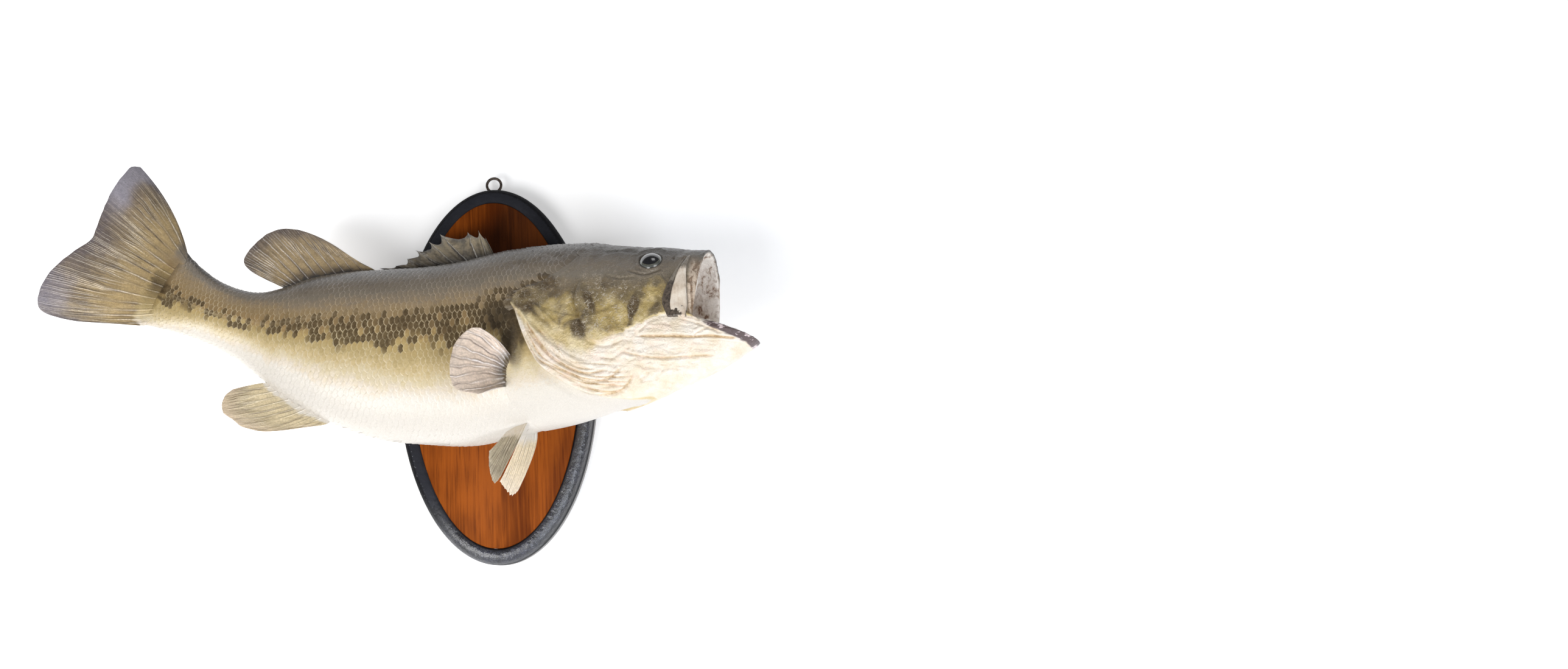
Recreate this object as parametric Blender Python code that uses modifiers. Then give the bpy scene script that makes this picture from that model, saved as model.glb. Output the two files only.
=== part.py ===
"""Largemouth bass mounted on an oval wall board, life size, in metres, +Z up.

The origin is the centre of the board's flat back. The wall is at +Y, the fish
faces +X and bows away from the board at head and tail, with its mouth open.
The fish is laid out straight in its own millimetres first: along (to the
head), height, and across (to its right side), and place() then rolls and
bends it. One loft of sections runs from the tail root to the lips and back
down inside the mouth, and the flesh pieces are lengths of that loft.
"""
import math

import bmesh
import bpy
from mathutils import Vector

for thing in list(bpy.data.objects):
    bpy.data.objects.remove(thing, do_unlink=True)

MM = 0.001
GAP = 0.0003

# The board: an oval with a moulded edge, and the screw eye that it hangs by.
BOARD_HALF_WIDTH = 0.0790
BOARD_HALF_HEIGHT = 0.1515
BOARD_THICKNESS = 0.0220
RIM_WIDTH = 0.0125
RIM_FLAT = 0.0035
RIM_ROUND = 0.0055
RIM_ROUND_DEPTH = 0.0060
RING_RADIUS = 0.0058
RING_WIRE = 0.0011
RING_DEPTH = 0.0080
RING_SETTLE = 0.0012
SHANK_LENGTH = 0.0070

# The bow of the fish in plan, and its roll back towards the wall.
STRAIGHT_AT = -40.0
SPINE_FROM_WALL = 65.5
HEAD_TURN = math.radians(17.0)
HEAD_TURN_RUN = 100.0
TAIL_TURN = math.radians(16.0)
TAIL_TURN_RUN = 240.0
ROLL = math.radians(10.0)
TAIL_ROLL = math.radians(3.0)
ROLL_START, ROLL_END = -280.0, -100.0
ROLL_AXIS_HEIGHT = 20.0
# How the fish leans on the upright board, head down, and its place there.
LEAN = math.radians(3.2)
SHIFT_ALONG, SHIFT_UP = 3.3, -6.2

# Sections from the tail root to the throat: along and height on the back,
# along and height on the side, half width, along and height on the belly,
# and how round the upper and lower quarters are (1 is an ellipse).
SECTIONS = (
    (-231, 91, -246, 61, 3.0, -258, 32, 1.00, 1.00),
    (-217, 77, -228, 52, 8.5, -238, 28, 1.00, 1.00),
    (-199, 66, -208, 42, 13.0, -215, 21, 1.00, 1.00),
    (-177, 61, -184, 36, 17.5, -190, 8, 0.98, 1.00),
    (-156, 66, -163, 32, 22.5, -168, -9, 0.98, 1.00),
    (-137, 74, -143, 30, 28.0, -149, -23, 0.98, 1.00),
    (-109, 79, -114, 28, 34.5, -118, -40, 0.96, 0.98),
    (-79, 81, -80, 26, 39.5, -80, -53, 0.95, 0.95),
    (-49, 83, -46, 26, 42.5, -44, -57, 0.94, 0.92),
    (-19, 88, -10, 27, 43.5, -4, -58, 0.94, 0.92),
    (13, 96, 25, 29, 43.5, 34, -50, 0.94, 0.92),
    (45, 99, 58, 31, 42.0, 72, -44, 0.94, 0.95),
    (81, 98, 91, 34, 41.0, 104, -36, 0.96, 1.00),
    (116, 93, 122, 37, 38.5, 136, -28, 1.00, 1.00),
    (145, 90, 149, 39, 34.5, 160, -18, 1.00, 1.00),
    (162, 88, 163, 36, 31.0, 190, -5, 0.96, 0.98),
    (173, 87, 174, 26, 28.5, 216, 11, 0.93, 1.00),
    (175, 84, 176, 27, 26.5, 216, 16, 0.93, 1.00),
    (172, 81, 173, 28, 24.0, 210, 16, 0.93, 1.00),
    (156, 75, 155, 33, 21.0, 172, 8, 1.00, 1.00),
    (136, 67, 134, 35, 18.0, 145, 8, 1.00, 1.00),
    (112, 57, 112, 36, 13.0, 118, 16, 1.00, 1.00),
    (96, 46, 96, 38, 6.0, 98, 30, 1.00, 1.00),
)
TAIL_ROOT, STEM_END, TRUNK_END = 0.0, 3.5, 10.5
THROAT_END = len(SECTIONS) - 1.0
RING_STEP = 0.5
AROUND = 24

# Where the lower jaw parts from the head, as a wedge seen from the side.
JAW_WEDGE = ((178, 29), (131, 13), (136, -8), (176, -24), (250, -30), (250, 29))
JAW_WEDGE_HALF_WIDTH = 60.0
JAW_SHIFT = (0.9, -0.15)

# Plates that lie on the head, as front and rear edges from top to bottom.
GILL_COVER_FRONT = ((83, 60), (87, 38), (94, 14), (103, -6), (113, -26))
GILL_COVER_REAR = ((48, 57), (33, 40), (47, 13), (63, -10), (101, -31))
GILL_COVER_THICKNESS = 2.6
MAXILLA_FRONT = ((168, 77), (169.5, 62), (170, 44), (169.5, 27))
MAXILLA_REAR = ((162, 77), (155, 58), (151.5, 40), (157, 25))
MAXILLA_THICKNESS = 2.0
PLATE_EDGE_THICKNESS = 0.9
PLATE_LIFT = 0.5

EYE_PLACE = (139, 71)
EYE_RADIUS = 10.5
EYE_SINK = 6.5

FIN_THICKNESS = 1.0
FIN_LIFT = 1.2

parts = bpy.data.collections.new("mounted_largemouth_bass")
cutters = bpy.data.collections.new("cutters")
bpy.context.scene.collection.children.link(parts)
bpy.context.scene.collection.children.link(cutters)


def paint(name, colour, roughness, metallic=0.0):
    """A plain Principled material."""
    made = bpy.data.materials.new(name)
    made.use_nodes = True
    shader = made.node_tree.nodes["Principled BSDF"]
    shader.inputs["Base Color"].default_value = (*colour, 1.0)
    shader.inputs["Roughness"].default_value = roughness
    shader.inputs["Metallic"].default_value = metallic
    return made


def add_part(name, mesh, finish):
    """One named object of the model, smooth where it is round."""
    piece = bpy.data.objects.new(name, mesh)
    parts.objects.link(piece)
    mesh.materials.append(finish)
    mesh.shade_smooth()
    mesh.set_sharp_from_angle(angle=math.radians(40.0))
    return piece


def add_cutter(name, mesh):
    """A hidden tool for a Boolean."""
    piece = bpy.data.objects.new(name, mesh)
    cutters.objects.link(piece)
    piece.hide_render = True
    piece.display_type = "WIRE"
    return piece


def boolean(piece, operation, tool):
    """An exact Boolean of one piece with a tool."""
    step = piece.modifiers.new(operation.lower(), "BOOLEAN")
    step.operation = operation
    step.solver = "EXACT"
    step.object = tool


def mesh_of(name, points, faces):
    """A mesh from points and faces, with every face turned outwards."""
    mesh = bpy.data.meshes.new(name)
    mesh.from_pydata(points, [], faces)
    shape = bmesh.new()
    shape.from_mesh(mesh)
    bmesh.ops.recalc_face_normals(shape, faces=shape.faces)
    shape.to_mesh(mesh)
    shape.free()
    return mesh


def along_rows(rows, position):
    """A smooth curve through rows of numbers, at a fractional row number."""
    last = len(rows) - 1
    start = min(int(position), last - 1)
    step = position - start
    before = rows[max(start - 1, 0)]
    after = rows[min(start + 2, last)]
    blend = []
    for a, b, c, d in zip(before, rows[start], rows[start + 1], after):
        slope = c - a
        bend = 2 * a - 5 * b + 4 * c - d
        rest = 3 * (b - c) + d - a
        blend.append(0.5 * (2 * b + step * (slope + step * (bend + step * rest))))
    return blend


def spread(rows, count):
    """Points at even steps along the smooth curve through some rows."""
    last = len(rows) - 1
    return [along_rows(rows, last * i / (count - 1)) for i in range(count)]


def plan(along):
    """The spine in plan: its x, its distance from the wall, and its turn."""
    past = along - STRAIGHT_AT
    run, full_turn = (HEAD_TURN_RUN, HEAD_TURN) if past >= 0 else (TAIL_TURN_RUN, TAIL_TURN)
    bent = min(abs(past), run) if past >= 0 else abs(past)
    radius = run / full_turn
    turn = bent / radius
    straight = abs(past) - bent
    reach = radius * math.sin(turn) + straight * math.cos(turn)
    bow = radius * (1 - math.cos(turn)) + straight * math.sin(turn)
    side = 1 if past >= 0 else -1
    return STRAIGHT_AT + side * reach, SPINE_FROM_WALL + bow, side * turn


def place(along, height, across):
    """A point of the straight fish, rolled, bent and set on the board."""
    x, from_wall, turn = plan(along)
    ease = min(1.0, max(0.0, (along - ROLL_START) / (ROLL_END - ROLL_START)))
    roll = TAIL_ROLL + (ROLL - TAIL_ROLL) * ease * ease * (3 - 2 * ease)
    rise = height - ROLL_AXIS_HEIGHT
    out = across * math.cos(roll) - rise * math.sin(roll)
    up = ROLL_AXIS_HEIGHT + rise * math.cos(roll) + across * math.sin(roll)
    x -= out * math.sin(turn)
    y = -(from_wall + out * math.cos(turn)) * MM
    on_board_x = x * math.cos(LEAN) + up * math.sin(LEAN) + SHIFT_ALONG
    on_board_z = up * math.cos(LEAN) - x * math.sin(LEAN) + SHIFT_UP
    flat = -BOARD_THICKNESS - GAP
    return Vector((on_board_x * MM, min(y, flat), on_board_z * MM))


def section_point(number, angle):
    """A point of the straight fish, at an angle round from the back."""
    row = along_rows(SECTIONS, number)
    back_along, back_height, side_along, side_height, half_width = row[:5]
    belly_along, belly_height, upper, lower = row[5:]
    toward = math.cos(angle)
    round_off = upper if toward >= 0 else lower
    end_along, end_height = (back_along, back_height) if toward >= 0 else (belly_along, belly_height)
    reach = abs(toward) ** round_off
    across = half_width * math.copysign(abs(math.sin(angle)) ** round_off, math.sin(angle))
    along = side_along + (end_along - side_along) * reach
    height = side_height + (end_height - side_height) * reach
    return along, height, across


def skin(number, angle, lift=0.0):
    """A point on the mounted skin, or lifted off it by some millimetres."""
    point = place(*section_point(number, angle))
    if lift:
        step = 0.02
        ahead = place(*section_point(min(number + step, THROAT_END), angle))
        behind = place(*section_point(max(number - step, TAIL_ROOT), angle))
        round_on = place(*section_point(number, angle + step))
        round_back = place(*section_point(number, angle - step))
        normal = (round_on - round_back).cross(ahead - behind)
        point = point + normal.normalized() * lift * MM
    return point


def on_flank(along, height):
    """The section number and angle of a right-side point seen side on."""
    number, angle = 10.0, math.radians(90.0)
    step = 0.001
    for _ in range(30):
        a, h, _across = section_point(number, angle)
        a_n, h_n, _across = section_point(number + step, angle)
        a_g, h_g, _across = section_point(number, angle + step)
        grid = (a_n - a, a_g - a, h_n - h, h_g - h)
        size = (grid[0] * grid[3] - grid[1] * grid[2]) / step
        off_along, off_height = along - a, height - h
        number += (off_along * grid[3] - off_height * grid[1]) / size
        angle += (off_height * grid[0] - off_along * grid[2]) / size
        number = min(max(number, 1.0), 16.0)
        angle = min(max(angle, math.radians(8.0)), math.radians(172.0))
    return number, angle


def grid_faces(rows, columns, first=0, closed=False):
    """Quads of a grid of points that starts at some point number."""
    faces = []
    for i in range(rows - 1):
        for j in range(columns if closed else columns - 1):
            k = (j + 1) % columns
            near, far = first + i * columns, first + (i + 1) * columns
            faces.append((near + j, near + k, far + k, far + j))
    return faces


def body_length(name, start, end, finish, shorten_start, shorten_end):
    """A length of the loft, closed at both ends and drawn in by the gap."""
    steps = round((end - start) / RING_STEP)
    rings = []
    for i in range(steps + 1):
        number = start + (end - start) * i / steps
        rings.append([skin(number, math.tau * j / AROUND) for j in range(AROUND)])
    for ring, other, draw in ((rings[0], rings[1], shorten_start), (rings[-1], rings[-2], shorten_end)):
        if draw:
            inward = (sum(other, Vector()) - sum(ring, Vector())).normalized()
            for point in ring:
                point += inward * GAP / 2
    points = [point for ring in rings for point in ring]
    faces = grid_faces(len(rings), AROUND, closed=True)
    for first in (0, len(points) - AROUND):
        ring = points[first:first + AROUND]
        points.append(sum(ring, Vector()) / AROUND)
        middle = len(points) - 1
        faces += [(first + j, first + (j + 1) % AROUND, middle) for j in range(AROUND)]
    return add_part(name, mesh_of(name, points, faces), finish)


def wedge_mesh(name, shift):
    """The jaw wedge as a prism across the head."""
    sides = (-JAW_WEDGE_HALF_WIDTH, JAW_WEDGE_HALF_WIDTH)
    count = len(JAW_WEDGE)
    points = [place_free(a + shift[0], h + shift[1], side) for side in sides for a, h in JAW_WEDGE]
    faces = [tuple(range(count)), tuple(range(count, 2 * count))]
    faces += [(i, (i + 1) % count, count + (i + 1) % count, count + i) for i in range(count)]
    return mesh_of(name, points, faces)


def place_free(along, height, across):
    """Like place() for the straight head, but not stopped by the board."""
    origin = place(along, height, 0.0)
    step = place(along, height, 1.0) - origin
    return origin + step * across


def plate(name, front, rear, thickness, side, finish, across=9, down=13):
    """A bony plate that lies on the right (1) or left (-1) of the head."""
    inner, outer = [], []
    for i in range(down):
        s = i / (down - 1)
        head_end = along_rows(front, s * (len(front) - 1))
        tail_end = along_rows(rear, s * (len(rear) - 1))
        for j in range(across):
            u = j / (across - 1)
            number, angle = on_flank(*[a + (b - a) * u for a, b in zip(head_end, tail_end)])
            swell = min(1.0, 3.2 * min(s, 1 - s)) * min(1.0, 3.2 * min(u, 1 - u))
            depth = PLATE_EDGE_THICKNESS + (thickness - PLATE_EDGE_THICKNESS) * swell
            inner.append(skin(number, side * angle, PLATE_LIFT))
            outer.append(skin(number, side * angle, PLATE_LIFT + depth))
    count = down * across
    faces = grid_faces(down, across) + grid_faces(down, across, first=count)
    border = list(range(across)) + [across * i + across - 1 for i in range(1, down)]
    border += [count - 1 - j for j in range(1, across)] + [across * i for i in range(down - 2, 0, -1)]
    for a, b in zip(border, border[1:] + border[:1]):
        faces.append((a, b, count + b, count + a))
    return add_part(name, mesh_of(name, inner + outer, faces), finish)


def blade(name, root, middle, edge, rays, rings, finish, notch=0.0, spines=0):
    """A fin: rays run from its root through its middle line to its edge."""
    root_line, middle_line, edge_line = (spread(line, rays) for line in (root, middle, edge))
    points = []
    for i, (a, b, c) in enumerate(zip(root_line, middle_line, edge_line)):
        dip = notch * math.sin(math.pi * spines * i / (rays - 1)) ** 2 if spines else 0.0
        for j in range(rings):
            u = j / (rings - 1) * (1 - dip)
            weights = ((1 - u) * (1 - 2 * u), 4 * u * (1 - u), u * (2 * u - 1))
            points.append(place(*[sum(w * v for w, v in zip(weights, values)) for values in zip(a, b, c)]))
    mesh = bpy.data.meshes.new(name)
    mesh.from_pydata(points, [], grid_faces(rays, rings))
    fin = add_part(name, mesh, finish)
    shell = fin.modifiers.new("thickness", "SOLIDIFY")
    shell.thickness = FIN_THICKNESS * MM
    shell.offset = 0.0
    return fin


def ridge(along, angle, lift):
    """A fin's root point over the back (angle 0) or under the belly (pi)."""
    low, high = TAIL_ROOT, 16.0
    for _ in range(40):
        number = (low + high) / 2
        if section_point(number, angle)[0] < along:
            low = number
        else:
            high = number
    height = section_point(number, angle)[1]
    return along, height + math.copysign(lift, math.cos(angle)), 0.0


# The board: its flat wooden panel, and the moulded rim round it.
def oval(offset, y, count=64):
    """Points round the board, some way in from its outline."""
    ring = []
    for i in range(count):
        angle = math.tau * i / count
        c, s = math.cos(angle), math.sin(angle)
        normal = Vector((c / BOARD_HALF_WIDTH, 0.0, s / BOARD_HALF_HEIGHT)).normalized()
        ring.append(Vector((BOARD_HALF_WIDTH * c, y, BOARD_HALF_HEIGHT * s)) - normal * offset)
    return ring


def make_board():
    """The panel is a slab, and the rim a moulding swept round it."""
    wood = paint("varnished_wood", (0.36, 0.14, 0.035), 0.35)
    black = paint("black_paint", (0.012, 0.012, 0.014), 0.28)
    front, back = oval(RIM_WIDTH + GAP, -BOARD_THICKNESS), oval(RIM_WIDTH + GAP, 0.0)
    count = len(front)
    faces = grid_faces(2, count, closed=True) + [tuple(range(count)), tuple(range(count, 2 * count))]
    add_part("board_panel", mesh_of("board_panel", back + front, faces), wood)
    profile = [(RIM_WIDTH, 0.0), (RIM_WIDTH, -BOARD_THICKNESS)]
    for i in range(5):
        angle = math.radians(90.0 * i / 4)
        inward = RIM_WIDTH - RIM_FLAT - RIM_ROUND * math.sin(angle)
        profile.append((inward, RIM_ROUND_DEPTH * (1 - math.cos(angle)) - BOARD_THICKNESS))
    profile.append((0.0, 0.0))
    points = [point for offset, y in profile for point in oval(offset, y)]
    faces = grid_faces(len(profile), count, closed=True)
    last = (len(profile) - 1) * count
    faces += [(last + j, last + (j + 1) % count, (j + 1) % count, j) for j in range(count)]
    return add_part("board_rim", mesh_of("board_rim", points, faces), black)


def make_ring(rim):
    """A screw eye: a wire ring with a shank that sinks into the rim."""
    bronze = paint("dark_bronze", (0.10, 0.075, 0.045), 0.40, 0.9)
    middle = Vector((0.0, -RING_DEPTH, BOARD_HALF_HEIGHT - RING_SETTLE + RING_RADIUS + RING_WIRE))
    bpy.ops.mesh.primitive_torus_add(major_radius=RING_RADIUS, minor_radius=RING_WIRE, major_segments=24,
                                     minor_segments=10, location=middle, rotation=(math.pi / 2, 0.0, 0.0))
    ring = bpy.context.object
    ring.name = "hanging_ring"
    ring.data.materials.append(bronze)
    ring.data.shade_smooth()
    for owner in list(ring.users_collection):
        owner.objects.unlink(ring)
    parts.objects.link(ring)
    for name, radius, extra in (("shank", RING_WIRE, 0.0), ("shank_hole", RING_WIRE + GAP, GAP)):
        shape = bmesh.new()
        depth = SHANK_LENGTH + extra
        bmesh.ops.create_cone(shape, cap_ends=True, segments=12, radius1=radius, radius2=radius, depth=depth)
        mesh = bpy.data.meshes.new(name)
        shape.to_mesh(mesh)
        shape.free()
        rod = add_cutter(name, mesh)
        top = middle.z - RING_RADIUS
        rod.location = (0.0, -RING_DEPTH, top - SHANK_LENGTH / 2 - extra / 2)
        if name == "shank":
            boolean(ring, "UNION", rod)
        else:
            boolean(rim, "DIFFERENCE", rod)


def make_flesh():
    """Tail stem, trunk, head and lower jaw."""
    body_length("tail_stem", TAIL_ROOT, STEM_END, paint("tail_skin", (0.20, 0.16, 0.07), 0.35), False, True)
    body_length("trunk", STEM_END, TRUNK_END, paint("trunk_skin", (0.26, 0.21, 0.10), 0.35), True, True)
    head = body_length("head", TRUNK_END, THROAT_END, paint("head_skin", (0.25, 0.20, 0.09), 0.35), True, False)
    jaw = add_part("lower_jaw", head.data.copy(), paint("jaw_skin", (0.55, 0.47, 0.28), 0.35))
    jaw.data.materials.clear()
    jaw.data.materials.append(bpy.data.materials["jaw_skin"])
    boolean(head, "DIFFERENCE", add_cutter("jaw_wedge_outer", wedge_mesh("jaw_wedge_outer", (0.0, 0.0))))
    boolean(jaw, "INTERSECT", add_cutter("jaw_wedge_inner", wedge_mesh("jaw_wedge_inner", JAW_SHIFT)))
    return head


def make_plates():
    """Gill covers and upper jaw bones, one on each side."""
    gill = paint("gill_cover_skin", (0.30, 0.26, 0.12), 0.32)
    bone = paint("maxilla_skin", (0.52, 0.44, 0.27), 0.32)
    for word, side in (("right", 1), ("left", -1)):
        plate("gill_cover_" + word, GILL_COVER_FRONT, GILL_COVER_REAR, GILL_COVER_THICKNESS, side, gill)
        plate("maxilla_" + word, MAXILLA_FRONT, MAXILLA_REAR, MAXILLA_THICKNESS, side, bone, 6, 10)


def make_eyes(head):
    """Glass eyes, set in sockets cut from the head."""
    glass = paint("eye_glass", (0.10, 0.11, 0.07), 0.06)
    number, angle = on_flank(*EYE_PLACE)
    for word, side in (("right", 1), ("left", -1)):
        middle = skin(number, side * angle, -EYE_SINK)
        for name, radius in (("eye_" + word, EYE_RADIUS * MM), ("socket_" + word, EYE_RADIUS * MM + GAP)):
            shape = bmesh.new()
            bmesh.ops.create_uvsphere(shape, u_segments=16, v_segments=10, radius=radius)
            mesh = bpy.data.meshes.new(name)
            shape.to_mesh(mesh)
            shape.free()
            if name.startswith("eye"):
                add_part(name, mesh, glass).location = middle
            else:
                socket = add_cutter(name, mesh)
                socket.location = middle
                boolean(head, "DIFFERENCE", socket)


def make_median_fins():
    """The two dorsal fins, the tail fin and the anal fin."""
    dorsal = paint("dorsal_fin", (0.20, 0.17, 0.11), 0.40)
    tail = paint("tail_fin", (0.30, 0.25, 0.12), 0.40)
    anal = paint("anal_fin", (0.30, 0.26, 0.13), 0.40)
    back, belly = 0.0, math.pi
    blade("spiny_dorsal_fin",
          [ridge(a, back, FIN_LIFT) for a in (-2, -24, -46, -68, -88)],
          [(-8, 101, 0), (-28, 101, 0), (-48, 96, 0), (-68, 88, 0), (-88, 83, 0)],
          [(-15, 116, 0), (-31, 115, 0), (-50, 107, 0), (-69, 94, 0), (-89, 84, 0)],
          33, 4, dorsal, notch=0.22, spines=8)
    blade("soft_dorsal_fin",
          [ridge(a, back, FIN_LIFT) for a in (-91, -108, -125, -142, -156)],
          [(-94, 84, 0), (-122, 91, 0), (-142, 95, 0), (-158, 92, 0), (-173, 76, 0)],
          [(-99, 87, 0), (-137, 107, 0), (-163, 115, 0), (-182, 101, 0), (-190, 85, 0)],
          17, 5, dorsal)
    blade("tail_fin",
          [(-231.5, 93, 0), (-239.5, 77, 0), (-246.5, 61.5, 0), (-253.5, 46, 0), (-259, 31, 0)],
          [(-247, 128, 0), (-265, 102, 0), (-272, 76, 0), (-289, 53, 0), (-289, 31, 0)],
          [(-266, 157, 0), (-279, 153, 0), (-289, 131, 0), (-294, 100, 0),
           (-310, 84, 0), (-328, 66, 0), (-332, 47, 0), (-320, 34, 0)],
          21, 6, tail)
    blade("anal_fin",
          [ridge(a, belly, FIN_LIFT) for a in (-121, -133, -146, -158, -167)],
          [(-125, -43, 0), (-142, -40, 0), (-158, -35, 0), (-172, -26, 0), (-180, -14, 0)],
          [(-130, -44, 0), (-154, -49, 0), (-179, -45, 0), (-196, -35, 0), (-196, -21, 0)],
          15, 5, anal)


def make_paired_fins():
    """The pectoral and pelvic fins, spread on the right side."""
    pectoral = paint("pectoral_fin", (0.36, 0.27, 0.19), 0.30)
    pelvic = paint("pelvic_fin", (0.38, 0.33, 0.19), 0.38)
    flank_line = [on_flank(a, h) for a, h in ((39, -3), (38, -14), (36, -25))]
    right_root = [section_point(*spot) for spot in flank_line]
    lifted = [(a - 1, h, w + 1.6) for a, h, w in right_root]
    blade("pectoral_fin_right", lifted,
          [(26, 8, 54), (16, -12, 55), (28, -31, 48)],
          [(13, 14, 60), (-6, 5, 62), (-9, -14, 62), (4, -34, 60), (20, -36, 54)],
          15, 6, pectoral)
    folded = [[(38, -4), (37, -14), (35, -24)], [(12, 0), (8, -12), (10, -24)],
              [(-12, 2), (-18, -6), (-18, -14), (-12, -24)]]
    lines = []
    for line in folded:
        spots = [section_point(*on_flank(a, h)) for a, h in line]
        lines.append([(a, h, -w - 1.8) for a, h, w in spots])
    blade("pectoral_fin_left", lines[0], lines[1], lines[2], 11, 6, pectoral)
    for word, side in (("right", 1), ("left", -1)):
        blade("pelvic_fin_" + word,
              [(42, -50, 15 * side), (35, -52, 14 * side), (28, -55, 13 * side)],
              [(38, -70, 18 * side), (29, -72, 18 * side), (20, -68, 17 * side)],
              [(27, -93, 21 * side), (20, -92, 22 * side), (13, -76, 20 * side)],
              11, 6, pelvic)


board_rim = make_board()
make_ring(board_rim)
fish_head = make_flesh()
make_plates()
make_eyes(fish_head)
make_median_fins()
make_paired_fins()
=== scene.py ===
"""Looks of the largemouth bass on its oval wall board, in metres, +Z up.

The file follows the taxidermist's order: the board, its moulded rim and its
hanging ring, then the bass itself: skin, scales, upper jaw bones, glass eyes
and fins, and last the wall, the lights and the camera.
"""

import math

import bpy
import numpy as np
from mathutils import Matrix, Vector


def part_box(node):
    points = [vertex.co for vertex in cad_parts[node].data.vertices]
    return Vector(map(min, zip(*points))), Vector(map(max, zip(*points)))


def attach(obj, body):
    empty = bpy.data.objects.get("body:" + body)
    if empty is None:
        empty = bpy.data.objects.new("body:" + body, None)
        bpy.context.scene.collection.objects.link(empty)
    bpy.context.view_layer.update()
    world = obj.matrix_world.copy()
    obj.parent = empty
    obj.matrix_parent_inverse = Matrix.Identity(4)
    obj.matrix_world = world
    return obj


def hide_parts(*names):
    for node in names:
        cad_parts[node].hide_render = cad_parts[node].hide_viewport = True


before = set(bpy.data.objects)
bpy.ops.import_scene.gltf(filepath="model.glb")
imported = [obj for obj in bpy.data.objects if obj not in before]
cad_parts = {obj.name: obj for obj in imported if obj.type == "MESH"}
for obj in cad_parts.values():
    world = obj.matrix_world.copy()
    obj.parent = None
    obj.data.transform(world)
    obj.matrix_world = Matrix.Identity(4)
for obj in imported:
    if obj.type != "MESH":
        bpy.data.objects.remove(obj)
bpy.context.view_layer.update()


# ---------------------------------------------------------------- board panel
# The back board is a flat oval of pine or cedar with an upright grain, stained
# orange-brown and varnished. It sits inside the moulded rim.
PANEL_LOW, PANEL_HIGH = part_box("board_panel")
PANEL_EDGE_ROUND = 0.0006
OVAL_POINTS = 240
# Streaks per metre across and along the grain.
GROWTH_LINES = (560.0, 560.0, 17.0)
STAIN_CLOUDS = (17.0, 17.0, 7.0)
WOOD_PORES = (1500.0, 1500.0, 60.0)
# A painted shadow above the fish's back: its dark tint and how strongly it is mixed in.
PAINTED_SHADOW_TINT, PAINTED_SHADOW_SHARE = (0.012, 0.005, 0.003, 1), 0.66


def node(tree, kind, inputs=(), **settings):
    """A shader node with its settings, and a value or a link on each input."""
    made = tree.nodes.new("ShaderNode" + kind)
    for key, setting in settings.items():
        setattr(made, key, setting)
    for key, source in dict(inputs).items():
        if isinstance(source, bpy.types.NodeSocket):
            tree.links.new(source, made.inputs[key])
        else:
            made.inputs[key].default_value = source
    return made


def chained(tree, operation, values):
    """The result of Math nodes that take in values one after another."""
    result = values[0]
    for other in values[1:]:
        result = node(tree, "Math", {0: result, 1: other}, operation=operation).outputs[0]
    return result


def times(tree, *values):
    """The product of some values."""
    return chained(tree, "MULTIPLY", values)


def plus(tree, *values):
    """The sum of some values."""
    return chained(tree, "ADD", values)


def minus(tree, *values):
    """A value less some others."""
    return chained(tree, "SUBTRACT", values)


def mix(tree, factor, first, second, blend_type="MIX"):
    """One colour mixed into another."""
    colours = {0: factor, 6: first, 7: second}
    return node(tree, "Mix", colours, data_type="RGBA", blend_type=blend_type).outputs[2]


def remap(tree, value, low, high, to_low=0.0, to_high=1.0):
    """A value eased from one range to another."""
    ranges = {0: value, 1: low, 2: high, 3: to_low, 4: to_high}
    return node(tree, "MapRange", ranges, interpolation_type="SMOOTHSTEP").outputs[0]


def where(tree):
    """Places on the piece, in metres, along x, y and z."""
    return node(tree, "SeparateXYZ", {0: node(tree, "TexCoord").outputs["Object"]}).outputs


def stretched(tree, fineness):
    """Places on the piece, scaled alike or along each axis."""
    scale = fineness if isinstance(fineness, tuple) else (fineness,) * 3
    place_on_piece = node(tree, "TexCoord").outputs["Object"]
    return node(tree, "Mapping", {"Vector": place_on_piece, "Scale": scale}).outputs[0]


def noise(tree, fineness, detail=3.0, roughness=0.55, distortion=0.0):
    """Clouds or streaks of some fineness, per metre."""
    settings = {"Vector": stretched(tree, fineness), "Scale": 1.0, "Detail": detail,
                "Roughness": roughness, "Distortion": distortion}
    return node(tree, "TexNoise", settings).outputs[0]


def new_group(name, inputs, outputs):
    """An empty shader group: its tree, its input values and its end node."""
    tree = bpy.data.node_groups.new(name, "ShaderNodeTree")
    for label, kind, standard in inputs:
        socket = tree.interface.new_socket(label, in_out="INPUT", socket_type="NodeSocket" + kind)
        socket.default_value = standard
    for label, kind in outputs:
        tree.interface.new_socket(label, in_out="OUTPUT", socket_type="NodeSocket" + kind)
    return tree, tree.nodes.new("NodeGroupInput").outputs, tree.nodes.new("NodeGroupOutput")


def placed(tree, group, inputs=()):
    """What a group gives in a material, with the material's own values."""
    made = node(tree, "Group", node_tree=group)
    for key, setting in dict(inputs).items():
        made.inputs[key].default_value = setting
    return made.outputs


def new_finish(name, **constants):
    """A material with a Principled shader, and constant values on its sockets."""
    made = bpy.data.materials.new(name)
    made.use_nodes = True
    shader = made.node_tree.nodes["Principled BSDF"]
    for key, constant in constants.items():
        shader.inputs[key.replace("_", " ")].default_value = constant
    return made, made.node_tree, shader


def connect(tree, end, **sources):
    """Feeds sockets of a shader or of a group's end."""
    for key, source in sources.items():
        tree.links.new(source, end.inputs[key.replace("_", " ")])


def bump(tree, height, distance):
    """The normal that a height gives."""
    return node(tree, "Bump", {"Height": height, "Distance": distance, "Strength": 1.0}).outputs[0]


def show(name, mesh, finish, crease):
    """An object of a mesh, smooth but for edges sharper than a crease in degrees."""
    mesh.materials.append(finish)
    mesh.shade_smooth()
    mesh.set_sharp_from_angle(angle=math.radians(crease))
    piece = bpy.data.objects.new(name, mesh)
    bpy.context.scene.collection.objects.link(piece)
    return piece


def add_piece(name, points, faces, finish, slot, *nodes, crease=50.0):
    """A mesh piece that rides on the mount and stands for some CAD nodes."""
    mesh = bpy.data.meshes.new(name)
    mesh.from_pydata(np.asarray(points, float).reshape(-1, 3).tolist(), [], faces)
    piece = show(name, mesh, finish, crease)
    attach(piece, "root")
    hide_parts(*nodes)
    return piece


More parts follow.
